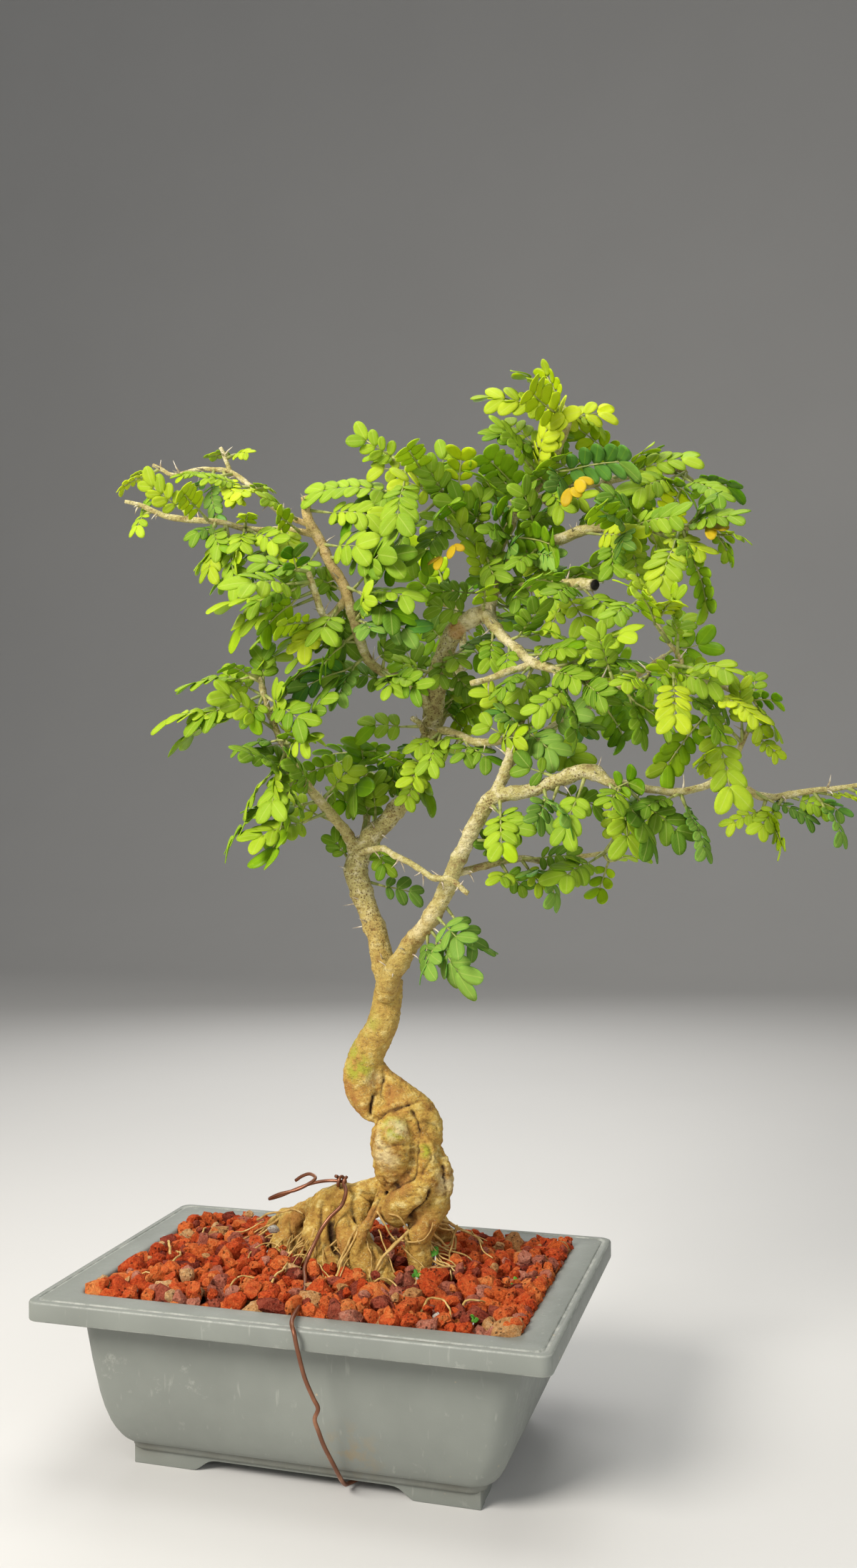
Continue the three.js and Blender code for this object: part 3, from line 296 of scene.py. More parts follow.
WIRE_BOW = [
    (1.6, 7.5, 101.2), (-6, 8, 101), (-13.6, 8, 99.4), (-19.5, 5, 97.4), (-24.9, 2, 95.2), (-28.9, -1, 94.4),
    (-23, -4, 97.6), (-15.8, -4.4, 99.8), (-10.9, -3, 102.2), (-9.2, 0.4, 103.8), (-12.6, 3, 104.6),
    (-16.4, 4, 103.2), (-19.6, 4.6, 101),
]
KNOT_CENTRE = (-0.6, 7.6, 101.2)

# The leafy sprays: the limb each grows from, how far along it, its tone, its seed and its leaf tips
SPRAYS = [
    ("arch_arm", 0.94, 0, 2, [(-102, 4, 394), (-98, 16, 403)]),
    ("long_arm", 0.79, 1, 5, [(-77, -25, 369), (-79, -11, 386)]),
    ("arch_arm", 0.58, 3, 2, [(-72, -2, 386), (-48, -4, 374)]),
    ("arch_arm", 0.35, 0, 82, [(-36, -8, 377), (-22, -4, 385)]),
    ("arch_stub", 0.53, 0, 2, [(-39, 4, 405), (-63, 16, 408)]),
    ("long_arm", 0.28, 1, 1, [(-54, -16, 352), (-28, -26, 352)]),
    ("long_arm", 0.16, 2, 2, [(-52, -5, 346), (-28, -19, 341)]),
    ("short_arm", 0.67, 1, 1, [(-41, -26, 334), (-16, -32, 322)]),
    ("short_arm", 0.33, 1, 1, [(-28, -18, 321), (-9, -32, 325)]),
    ("low_left", 0.98, 1, 6, [(-59, -20, 304), (-16, -4, 321)]),
    ("low_left", 0.89, 1, 3, [(-68, -20, 287), (-69, -8, 281)]),
    ("low_left", 0.76, 2, 1, [(-37, -18, 278), (4, -20, 283)]),
    ("low_left", 0.67, 1, 1, [(-35, -12, 251), (-13, -22, 261)]),
    ("low_left", 0.56, 2, 25, [(-45, -10, 236), (-24, -16, 230), (-5, -20, 247)]),
    ("rear_riser", 0.97, 2, 111, [(-5, 17, 254), (9, 7, 256)]),
    ("thorn_twig", 0.5, 2, 1, [(6, 10, 288)]),
    ("high_arm", 0.4, 3, 1, [(8, -18, 294), (-12, -12, 300)]),
    ("high_arm", 0.47, 2, 1, [(-14, -17, 311), (6, -25, 307)]),
    ("high_arm", 0.29, 2, 1, [(30, -13, 298), (41, -11, 302)]),
    ("high_arm", 0.6, 2, 21, [(42, -18, 334), (36, -22, 324)]),
    ("high_arm", 0.51, 3, 7, [(25, -24, 318), (46, -16, 322)]),
    ("left_top_arm", 0.97, 1, 51, [(12, -8, 403), (16, 4, 395)]),
    ("left_top_arm", 0.72, 2, 128, [(-9, -7, 382), (3, -11, 368)]),
    ("left_top_arm", 0.6, 2, 3, [(15, -9, 360), (25, -15, 344)]),
    ("top_leader", 0.99, 0, 1, [(74, 12, 430), (84, 20, 434)]),
    ("top_leader", 0.89, 0, 5, [(57, 10, 422), (111, 24, 414)]),
    ("top_leader", 0.71, 3, 1, [(93, -4, 375), (125, 6, 388)]),
    ("top_leader", 0.43, 2, 14, [(67, -2, 363), (97, -2, 354)]),
    ("rear_shoulder", 0.5, 1, 111, [(129, 44, 402), (144, 50, 395)]),
    ("rear_shoulder", 0.97, 2, 120, [(164, 46, 382), (155, 56, 373)]),
    ("shoulder", 0.97, 1, 121, [(168, -12, 353), (161, -2, 347)]),
    ("shoulder", 0.82, 2, 1, [(144, -18, 345), (152, -8, 325)]),
    ("cut_stub", 0.43, 1, 58, [(130, 1, 349), (110, -9, 346)]),
    ("trail", 0.98, 0, 1, [(125, -28, 339), (138, -42, 324)]),
    ("bow_arm", 0.13, 2, 43, [(101, -12, 317), (90, -12, 331)]),
    ("bow_arm", 0.4, 1, 114, [(127, -26, 316), (131, -18, 303)]),
    ("bow_arm", 0.5, 2, 1, [(88, -32, 287), (106, -34, 278)]),
    ("bow_arm", 0.64, 2, 1, [(129, -33, 276), (141, -27, 280)]),
    ("bow_arm", 0.8, 1, 1, [(158, -36, 276), (135, -30, 307)]),
    ("bow_arm", 0.9, 1, 6, [(161, -32, 254), (136, -24, 264)]),
    ("bow_arm", 0.99, 1, 10, [(177, -24, 292), (177, -16, 277), (170, -14, 305)]),
    ("right_leader", 0.72, 3, 1, [(90, -36, 246), (106, -36, 247)]),
    ("right_leader", 0.92, 2, 14, [(136, -39, 237), (132, -33, 265)]),
    ("right_tip", 0.25, 3, 3, [(154, -33, 232), (147, -19, 245)]),
    ("right_tip", 0.75, 0, 1, [(156, -12, 245), (178, -14, 238)]),
    ("right_tip", 0.87, 3, 1, [(198, -14, 239), (201, 2, 250)]),
    ("right_tip", 0.96, 1, 121, [(212, -1, 264), (207, -11, 253)]),
    ("side_twig", 0.69, 3, 1, [(90, 0, 215), (81, -4, 229)]),
    ("side_twig", 0.99, 1, 1, [(126, 6, 235), (106, 8, 219)]),
    ("right_leader", 0.24, 3, 1, [(43, -17, 187), (64, -15, 187), (67, -1, 196)]),
    ("back_arm", 0.9, 2, 87, [(12, 82, 330), (63, 80, 338)]),
]

# Smaller sprays that fill the crown between the ones above
FILLING_SPRAYS = [
    ("long_arm", 0.42, 2, 1, [(-53, -20, 365), (-35, -24, 357)]),
    ("short_arm", 1.0, 2, 2, [(-17, -36, 346), (-2, -36, 354)]),
    ("rear_riser", 0.94, 2, 3, [(-28, 60, 275), (3, 58, 281)]),
    ("top_leader", 0.78, 1, 4, [(63, 4, 403), (64, 30, 416)]),
    ("tip_shoot", 0.72, 0, 5, [(176, -20, 272)]),
    ("riser", 0.83, 3, 6, [(97, -13, 273), (69, -9, 295)]),
    ("side_twig", 0.38, 1, 7, [(70, -4, 224), (81, 4, 223)]),
    ("right_leader", 0.45, 2, 8, [(86, -26, 245), (74, -4, 237)]),
    ("back_arm", 0.97, 2, 9, [(17, 83, 364), (45, 83, 364)]),
    ("back_right_arm", 0.75, 2, 10, [(102, 68, 329), (117, 70, 291)]),
    ("back_right_arm", 0.97, 1, 11, [(147, 75, 324), (134, 80, 339)]),
    ("top_leader", 0.57, 2, 12, [(75, -2, 368), (64, 12, 390)]),
    ("left_top_arm", 0.44, 2, 13, [(46, -4, 367), (36, -6, 350)]),
    ("shoulder", 0.64, 3, 14, [(123, -15, 350), (114, -13, 367)]),
    ("middle_arm", 0.43, 2, 15, [(56, -5, 269), (71, -3, 270)]),
    ("rear_riser", 0.75, 2, 16, [(35, 26, 257), (25, 12, 263)]),
    ("low_left", 0.92, 1, 17, [(-49, -8, 312)]),
    ("short_arm", 0.6, 1, 18, [(-37, -18, 327)]),
    ("shoulder", 0.84, 2, 19, [(155, -14, 366)]),
]

# Single leaves that fill the crown between the sprays, by tone: the limb, how far along it, the seed and
# the leaf's tip
CROWN_LEAVES = {
    "lime": [
        ("left_top_arm", 0.44, 37, 61, -8, 396), ("shoulder", 0.81, 28, 138, -29, 329),
        ("rear_shoulder", 1, 6, 133, 21, 363), ("tip_shoot", 0.5, 35, 164, -33, 298),
        ("trail", 0.43, 38, 145, -51, 281), ("short_arm", 0.17, 20, -6, -30, 313),
        ("left_top_arm", 0.56, 5, 30, -18, 385), ("shoulder", 0.44, 9, 130, -10, 354),
        ("top_leader", 0.6, 28, 95, 9, 410), ("long_arm", 0.54, 7, -76, -20, 389),
        ("rear_shoulder", 0.67, 39, 93, 21, 410), ("shoulder", 0.56, 4, 144, 13, 357),
        ("top_leader", 1, 10, 63, 8, 420), ("trail", 0.86, 21, 143, -49, 324),
        ("long_arm", 0.08, 6, -13, -24, 372), ("arch_arm", 0.13, 29, -8, -22, 351),
        ("top_leader", 0.67, 10, 99, 1, 414), ("trail", 0.43, 13, 167, -48, 298),
        ("long_arm", 0.46, 30, -46, -41, 381), ("arch_arm", 0.33, 3, -30, -20, 378),
        ("bow_arm", 0.86, 27, 170, -43, 279), ("top_leader", 0.93, 6, 86, -14, 415),
        ("long_arm", 0.31, 21, -26, -23, 372), ("arch_arm", 0.47, 37, -63, -9, 393),
        ("high_arm", 0.44, 6, -16, -17, 323), ("shoulder", 0.69, 13, 155, -7, 346),
        ("left_top_arm", 0.89, 15, 17, -1, 389), ("arch_arm", 0.07, 12, -21, -33, 376),
        ("long_arm", 0.38, 26, -46, -25, 348), ("arch_arm", 0.53, 38, -36, -9, 381),
        ("right_tip", 0.47, 31, 151, -41, 270), ("bow_arm", 1, 28, 173, -14, 279),
        ("right_tip", 0.87, 27, 204, -4, 253),
    ],
    "yellow_green": [
        ("cut_stub", 0.56, 27, 105, -15, 318), ("side_twig", 1, 17, 132, 20, 254),
        ("top_leader", 0.4, 1, 48, -1, 381), ("right_leader", 0.72, 2, 111, -9, 254),
        ("low_left", 0.93, 33, 3, -30, 286), ("long_arm", 0.31, 25, -11, -27, 358),
        ("short_arm", 0.83, 38, -16, -57, 338), ("shoulder", 0.19, 19, 91, -2, 336),
        ("high_arm", 0.78, 6, 25, -19, 356), ("rear_shoulder", 0.67, 25, 122, 46, 367),
        ("rear_shoulder", 0.08, 3, 84, 19, 400), ("low_left", 0.29, 36, -32, -16, 239),
        ("middle_arm", 0.9, 10, 64, -11, 289), ("rear_shoulder", 0.17, 1, 104, 19, 377),
        ("right_leader", 1, 21, 124, -34, 236), ("bow_arm", 0.24, 18, 108, -23, 314),
        ("rear_shoulder", 1, 13, 121, 23, 378), ("short_arm", 0, 3, -8, -12, 348),
        ("rear_riser", 0.6, 1, 5, 15, 283), ("left_top_arm", 1, 11, 36, -30, 357),
        ("low_left", 0.79, 3, -37, -33, 300), ("top_leader", 0.67, 35, 96, 3, 367),
        ("low_left", 0.21, 18, -30, 6, 262), ("right_leader", 0.6, 28, 82, -37, 234),
        ("left_top_arm", 0.44, 10, 42, -11, 394), ("cut_stub", 0.67, 25, 91, -8, 320),
        ("shoulder", 0.12, 39, 70, 2, 373), ("high_arm", 0.78, 18, -6, -31, 339),
        ("bow_arm", 0.14, 33, 77, -11, 308), ("shoulder", 0.62, 11, 123, 8, 336),
        ("rear_shoulder", 0.42, 24, 90, 7, 391), ("left_leader", 0.57, 7, 17, 2, 273),
        ("cut_stub", 0, 5, 56, 6, 363), ("high_arm", 0.94, 25, 27, -14, 369),
        ("left_top_arm", 0.22, 12, 61, 5, 383), ("left_leader", 0.4, 33, 11, 24, 271),
        ("trail", 0.14, 38, 125, -43, 298), ("back_arm", 0, 13, 36, -1, 262),
        ("left_leader", 0.57, 3, 29, 8, 252), ("middle_arm", 0.7, 1, 84, -18, 281),
        ("back_arm", 1, 11, 14, 68, 378), ("left_leader", 0.97, 36, 66, -4, 340),
        ("shoulder", 0.56, 2, 144, -15, 362), ("back_right_arm", 0.29, 2, 101, -2, 269),
        ("left_top_arm", 0.78, 33, 42, -28, 394), ("arch_arm", 0.33, 13, -51, -9, 391),
        ("right_leader", 1, 21, 119, -46, 254), ("rear_shoulder", 0.67, 33, 146, 34, 379),
        ("rear_riser", 0.2, 5, 6, 27, 266), ("rear_shoulder", 0.92, 22, 155, 33, 376),
        ("shoulder", 0.62, 23, 115, -29, 361), ("side_twig", 0.5, 28, 89, 6, 220),
        ("trail", 0.43, 36, 130, -26, 294), ("low_left", 0.64, 15, -15, -20, 303),
        ("high_arm", 0.5, 1, 26, -26, 338), ("back_arm", 0.71, 12, 53, 45, 326),
        ("back_arm", 0.29, 7, 46, 36, 282), ("low_left", 0.36, 4, 9, 6, 273),
        ("trail", 0.71, 36, 128, -61, 328), ("left_leader", 0.3, 17, -10, 17, 244),
        ("short_arm", 0.83, 26, -22, -43, 332), ("riser", 0.86, 28, 63, 4, 303),
        ("high_arm", 0.28, 1, 44, -15, 299), ("trail", 0.57, 26, 144, -46, 333),
        ("high_arm", 0.72, 25, 40, -25, 349), ("low_left", 0.71, 12, 0, -30, 279),
        ("long_arm", 0.31, 38, -25, -30, 358), ("left_top_arm", 0.67, 21, 48, 7, 401),
        ("right_tip", 0, 11, 116, -21, 240), ("left_leader", 0.63, 36, 49, 8, 280),
        ("right_tip", 0.8, 20, 168, -19, 242), ("high_arm", 0.78, 23, 3, 0, 337),
        ("top_leader", 0.27, 22, 49, 5, 375), ("bow_arm", 0.05, 38, 69, -5, 309),
        ("back_right_arm", 0.88, 21, 146, 44, 310), ("bow_twig", 0, 7, 105, 2, 313),
        ("left_leader", 0.4, 12, 15, 13, 226), ("middle_arm", 0.2, 36, 30, 9, 275),
        ("bow_arm", 0.19, 36, 92, 7, 314), ("low_left", 0.93, 11, -29, -21, 287),
        ("shoulder", 0.56, 36, 116, -11, 339), ("low_left", 0.93, 4, -25, -13, 320),
        ("low_left", 0.93, 30, -57, -17, 290), ("left_top_arm", 0.44, 10, 54, -17, 372),
        ("rear_riser", 0.9, 25, -10, 69, 283), ("back_arm", 0.21, 37, 51, 51, 304),
        ("rear_shoulder", 0.67, 32, 124, 64, 393), ("top_leader", 1, 29, 110, 27, 405),
        ("left_leader", 0.77, 31, 32, 47, 306), ("shoulder", 0.69, 15, 134, 29, 346),
        ("back_right_arm", 0.53, 33, 82, 45, 293), ("back_right_arm", 0.65, 23, 116, 62, 291),
        ("left_top_arm", 0.11, 17, 58, 46, 341), ("left_top_arm", 0.89, 39, 46, 28, 392),
        ("left_leader", 0.7, 29, 54, 31, 307), ("middle_arm", 0.4, 24, 42, 27, 275),
        ("back_right_arm", 0.47, 36, 111, 42, 306), ("rear_riser", 0.3, 5, 1, 54, 263),
        ("rear_shoulder", 0.5, 22, 119, 59, 372), ("shoulder", 0, 24, 76, 36, 359),
        ("shoulder", 0.12, 6, 85, 37, 356), ("back_right_arm", 0.29, 9, 69, 37, 281),
        ("back_arm", 0.43, 36, 33, 74, 317), ("top_leader", 0.33, 31, 54, 44, 359),
        ("back_right_arm", 0.76, 19, 102, 65, 304), ("back_right_arm", 1, 28, 143, 78, 307),
        ("left_leader", 0.53, 22, 12, 39, 275),
    ],
    "green": [
        ("shoulder", 0.69, 13, 115, -10, 374), ("rear_shoulder", 0.08, 31, 63, -3, 392),
        ("trail", 0.29, 22, 158, -31, 297), ("back_right_arm", 0.59, 8, 119, 18, 278),
        ("rear_riser", 0.9, 32, -32, 29, 264), ("bow_arm", 0.52, 14, 121, -40, 293),
        ("side_twig", 0.5, 35, 102, -7, 233), ("long_arm", 0.38, 17, -30, -28, 339),
        ("shoulder", 0.06, 18, 81, 1, 334), ("middle_arm", 0.2, 36, 38, 4, 267),
        ("left_top_arm", 0.11, 9, 72, -3, 342), ("shoulder", 0.25, 39, 80, 14, 383),
        ("top_leader", 0, 9, 38, 12, 337), ("left_leader", 0.73, 39, 21, 24, 325),
        ("cut_stub", 0.78, 21, 119, -18, 322), ("back_arm", 0.21, 3, 60, 24, 297),
        ("high_arm", 0.61, 2, 6, -3, 315), ("bow_twig", 0, 30, 73, -20, 297),
        ("cut_stub", 0.11, 3, 64, 17, 360), ("bow_arm", 0.38, 4, 110, -32, 298),
        ("back_arm", 0.79, 39, 45, 75, 319), ("short_arm", 0, 17, 34, -28, 356),
        ("low_left", 0.36, 28, -11, -18, 275), ("back_arm", 0.93, 15, 13, 56, 359),
        ("bow_twig", 0, 21, 77, -6, 294), ("right_leader", 0.76, 7, 83, -20, 267),
        ("side_twig", 1, 38, 97, -20, 227), ("left_leader", 0.83, 4, 44, 8, 306),
        ("cut_stub", 0.22, 2, 97, -7, 333), ("shoulder", 0.75, 38, 168, -13, 361),
        ("back_right_arm", 0.35, 21, 106, 22, 284), ("low_left", 0.86, 27, 2, -29, 311),
        ("tip_shoot", 0.5, 13, 152, -22, 294), ("low_left", 0.64, 33, 11, -23, 303),
        ("low_left", 0.43, 39, -28, -14, 279), ("right_leader", 1, 20, 146, -30, 239),
        ("right_leader", 0.84, 9, 102, -36, 240), ("high_arm", 0.17, 14, 1, -6, 311),
        ("top_leader", 0.67, 3, 70, -3, 405), ("rear_riser", 0.4, 5, -5, 6, 259),
        ("high_arm", 0.28, 20, 25, -9, 319), ("left_leader", 0.8, 12, 51, 19, 300),
        ("shoulder", 0.25, 37, 80, -2, 348), ("riser", 0, 33, 88, -35, 243),
        ("bow_arm", 0.52, 12, 117, -33, 288), ("bow_arm", 0.62, 3, 115, -33, 318),
        ("right_tip", 0.8, 12, 193, -9, 250), ("top_leader", 0.13, 9, 38, 14, 343),
        ("top_leader", 0.47, 17, 86, 32, 374), ("riser", 0.86, 33, 86, 2, 306),
        ("low_left", 0.36, 34, -35, -14, 254), ("short_arm", 1, 23, -19, -34, 348),
        ("left_leader", 0.83, 5, 54, -1, 310), ("cut_stub", 0.67, 23, 90, -33, 334),
        ("back_right_arm", 0.18, 5, 82, -15, 295), ("back_right_arm", 0.76, 27, 97, 28, 304),
        ("rear_shoulder", 0.25, 7, 79, 14, 385), ("high_arm", 0.11, 35, 39, 22, 318),
        ("cut_stub", 0.78, 13, 101, -33, 330), ("right_tip", 0.27, 25, 128, -36, 252),
        ("trail", 1, 3, 125, -60, 315), ("back_right_arm", 0.76, 26, 99, 48, 287),
        ("back_right_arm", 0.41, 28, 83, 22, 308), ("top_leader", 0.47, 37, 64, 1, 388),
        ("back_arm", 0.21, 19, 46, 22, 299), ("shoulder", 0.25, 20, 79, -9, 381),
        ("low_left", 0.64, 26, -18, -29, 252), ("side_twig", 0.4, 20, 64, -16, 242),
        ("low_left", 0.5, 29, -26, -34, 277), ("short_arm", 0.17, 28, 8, -28, 318),
        ("low_left", 1, 32, -34, -27, 311), ("left_leader", 0.77, 3, 25, 3, 312),
        ("side_twig", 1, 27, 119, 29, 257), ("top_leader", 0.73, 10, 90, 43, 388),
        ("rear_riser", 0.4, 28, -8, 43, 267), ("back_arm", 0.43, 33, 39, 74, 292),
        ("cut_stub", 0.11, 26, 81, 42, 337), ("back_right_arm", 0.82, 28, 89, 68, 314),
        ("rear_shoulder", 0.08, 17, 70, 43, 364), ("left_leader", 0.83, 8, 32, 36, 334),
        ("rear_shoulder", 0.42, 28, 112, 49, 379), ("rear_shoulder", 0, 31, 59, 38, 390),
        ("top_leader", 0.27, 26, 48, 41, 351), ("back_right_arm", 0.53, 24, 118, 55, 295),
        ("back_right_arm", 0.76, 36, 96, 73, 296), ("rear_shoulder", 0.42, 12, 91, 51, 400),
        ("rear_shoulder", 0.5, 19, 103, 58, 379), ("left_top_arm", 0.33, 34, 63, 30, 371),
        ("rear_shoulder", 0.75, 8, 122, 66, 382), ("rear_shoulder", 0.08, 15, 77, 46, 395),
        ("rear_riser", 0.7, 11, -11, 65, 254), ("back_arm", 0.29, 5, 38, 76, 295),
        ("left_leader", 0.5, 22, 13, 34, 270), ("rear_shoulder", 0.58, 1, 115, 62, 398),
        ("shoulder", 0.44, 39, 103, 27, 373), ("top_leader", 0.93, 10, 87, 34, 398),
        ("rear_shoulder", 0.58, 22, 126, 61, 406), ("back_right_arm", 0.82, 22, 140, 67, 315),
        ("top_leader", 0.93, 38, 88, 40, 403), ("rear_riser", 0.9, 2, -17, 64, 276),
        ("top_leader", 0.07, 26, 76, 41, 338), ("left_top_arm", 0.11, 28, 78, 40, 350),
        ("top_leader", 0.53, 16, 87, 37, 366), ("back_right_arm", 0.35, 2, 79, 31, 281),
        ("back_right_arm", 0.47, 37, 120, 47, 307), ("back_arm", 0, 25, 16, 49, 279),
        ("rear_riser", 0.8, 36, -16, 62, 254), ("left_leader", 0.77, 17, 42, 41, 322),
    ],
    "deep_green": [
        ("back_right_arm", 0.24, 10, 106, 2, 295), ("right_tip", 0.67, 29, 190, -5, 247),
        ("left_leader", 0.27, 35, 29, 25, 215), ("right_leader", 0.28, 4, 64, -29, 200),
        ("shoulder", 0.06, 6, 77, 5, 360), ("right_leader", 0.32, 11, 62, -9, 195),
        ("shoulder", 0.19, 9, 96, -2, 350), ("right_leader", 0.76, 17, 89, -22, 246),
        ("right_leader", 0.24, 39, 43, -9, 192), ("rear_shoulder", 0.33, 14, 75, 56, 377),
        ("rear_shoulder", 0, 2, 56, 43, 386), ("rear_shoulder", 0.67, 10, 104, 56, 375),
        ("high_arm", 0.22, 12, 22, 27, 314), ("back_right_arm", 0.41, 20, 88, 42, 301),
        ("top_leader", 0, 31, 72, 28, 329), ("left_leader", 0.8, 31, 57, 32, 325),
        ("back_arm", 0.07, 17, 29, 54, 278), ("back_right_arm", 0.47, 15, 96, 45, 281),
        ("cut_stub", 0.11, 11, 93, 29, 349), ("back_arm", 0.5, 32, 55, 72, 297),
    ],
}

LEAF_TONES = tuple(CROWN_LEAVES)
# How many single leaves share a piece
LEAVES_A_CLUSTER = 8
# The limbs whose leaves are still young, and the size of those beside grown ones
YOUNG_LIMBS = {
    "arch_arm": 0.66, "arch_stub": 0.66, "long_arm": 0.8, "right_tip": 0.72, "tip_shoot": 0.75, "trail": 0.8,
    "bow_arm": 0.84, "shoulder": 0.88, "rear_shoulder": 0.9, "top_leader": 0.88, "side_twig": 0.9,
}
# The longest and shortest pinna, how high its rib arches and how far its sides droop
LONGEST_PINNA = 33
SHORTEST_PINNA = 12
ARCH = 0.09
DROOP = 0.35
# Where the leaves look: out from the crown's middle, and to the light before it and behind it
CROWN_MIDDLE = Vector((45, 10, 300))
CROWN_BACK = 30
FRONT_LIGHT = Vector((-0.18, -0.72, 0.54))
BACK_LIGHT = Vector((0.09, 0.63, 0.54))


# Random numbers from 0 to 1, always the same ones for a seed
def seeded_random(seed):
    state = (seed * 7919 + 17) % 4294967296

    def draw():
        nonlocal state
        state = (state * 1664525 + 1013904223) % 4294967296
        return state / 4294967296

    draw()
    draw()
    return draw


def spread(draw, reach):
    return (draw() * 2 - 1) * reach


def random_direction(draw):
    height = spread(draw, 1)
    turn = 2 * math.pi * draw()
    flat = math.sqrt(1 - height * height)
    return Vector((flat * math.cos(turn), flat * math.sin(turn), height))


# A slanting direction, each way up to half a unit
def random_lean(draw):
    return Vector((draw() - 0.5, draw() - 0.5, draw() - 0.5))


# Meshes and pieces


def move_to_frame(bm):
    bmesh.ops.scale(bm, vec=(MM, MM, MM), verts=bm.verts)
    bmesh.ops.translate(bm, vec=POT_MIDDLE, verts=bm.verts)


def clear_piece(name):
    old = bpy.data.objects.get(name)
    if old is not None:
        bpy.data.objects.remove(old)


def make_piece(name, mesh, materials, replaced=()):
    clear_piece(name)
    piece = bpy.data.objects.new(name, mesh)
    bpy.context.scene.collection.objects.link(piece)
    for material in materials:
        mesh.materials.append(material)
    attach(piece, "root")
    if replaced:
        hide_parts(*replaced)


# Writes a bmesh to a new mesh, and frees it
def bare_mesh(bm, name):
    mesh = bpy.data.meshes.new(name)
    bm.to_mesh(mesh)
    bm.free()
    return mesh


def mesh_of(bm, name):
    move_to_frame(bm)
    for face in bm.faces:
        face.smooth = True
    return bare_mesh(bm, name)


# Adds one bmesh to another, and frees it
def join_in(bm, part):
    spare = bare_mesh(part, "part")
    bm.from_mesh(spare)
    bpy.data.meshes.remove(spare)


# The vertices among what a bmesh operator made, and the edges that lie wholly among them
def grown_ring(geometry):
    verts = [g for g in geometry if isinstance(g, bmesh.types.BMVert)]
    fresh = set(verts)
    return verts, [g for g in geometry if isinstance(g, bmesh.types.BMEdge) and fresh.issuperset(g.verts)]


def edges_of(verts):
    return {e for v in verts for e in v.link_edges}


# The points of a smooth curve through a limb's points, about a step apart
def smooth_path(points, step):
    knots = [Vector(p) for p in points]
    path = []
    for i in range(len(knots) - 1):
        a, b = knots[i], knots[i + 1]
        before = knots[i - 1] if i else a * 2 - b
        after = knots[i + 2] if i + 2 < len(knots) else b * 2 - a
        count = max(1, round((b.xyz - a.xyz).length / step))
        for k in range(count):
            t = k / count
            path.append(
                0.5 * (2 * a + (b - before) * t + (2 * before - 5 * a + 4 * b - after) * t * t
                       + (3 * a - before - 3 * b + after) * t * t * t)
            )
    path.append(knots[-1])
    return path


def path_tangents(middles):
    last = len(middles) - 1
    return [
        (middles[min(i + 1, last)] - middles[max(i - 1, 0)]).normalized() for i in range(len(middles))
    ]


# A round tube along a path of (x, y, z, radius), its rings turned as little as the path allows
def grow_tube(bm, path, sides, material=0):
    middles = [p.xyz for p in path]
    tangents = path_tangents(middles)
    normal = Vector((0.31, 0.87, 0.12)).cross(tangents[0]).normalized()
    place = None
    tube = bmesh.new()
    verts = bmesh.ops.create_circle(tube, cap_ends=True, cap_tris=False, segments=sides, radius=1)["verts"]
    edges = tube.edges[:]
    for point, middle, tangent in zip(path, middles, tangents):
        normal = (normal - tangent * normal.dot(tangent)).normalized()
        across = tangent.cross(normal)
        radius = point.w
        now = Matrix((
            (normal.x * radius, across.x * radius, tangent.x, middle.x),
            (normal.y * radius, across.y * radius, tangent.y, middle.y),
            (normal.z * radius, across.z * radius, tangent.z, middle.z),
            (0, 0, 0, 1),
        ))
        if place is None:
            bmesh.ops.transform(tube, matrix=now, verts=verts)
        else:
            verts, edges = grown_ring(bmesh.ops.extrude_edge_only(tube, edges=edges)["geom"])
            bmesh.ops.transform(tube, matrix=now @ place.inverted(), verts=verts)
        place = now
    bmesh.ops.contextual_create(tube, geom=edges)
    bmesh.ops.recalc_face_normals(tube, faces=tube.faces)
    for face in tube.faces:
        face.material_index = material
    join_in(bm, tube)


def point_on_limb(name, at):
    points = LIMBS[name]
    place = min(at, 0.9999) * (len(points) - 1)
    i = int(place)
    mixed = Vector(points[i]).lerp(Vector(points[i + 1]), place - i)
    along = (Vector(points[i + 1]).xyz - Vector(points[i]).xyz).normalized()
    return mixed.xyz, mixed.w, along


# Materials


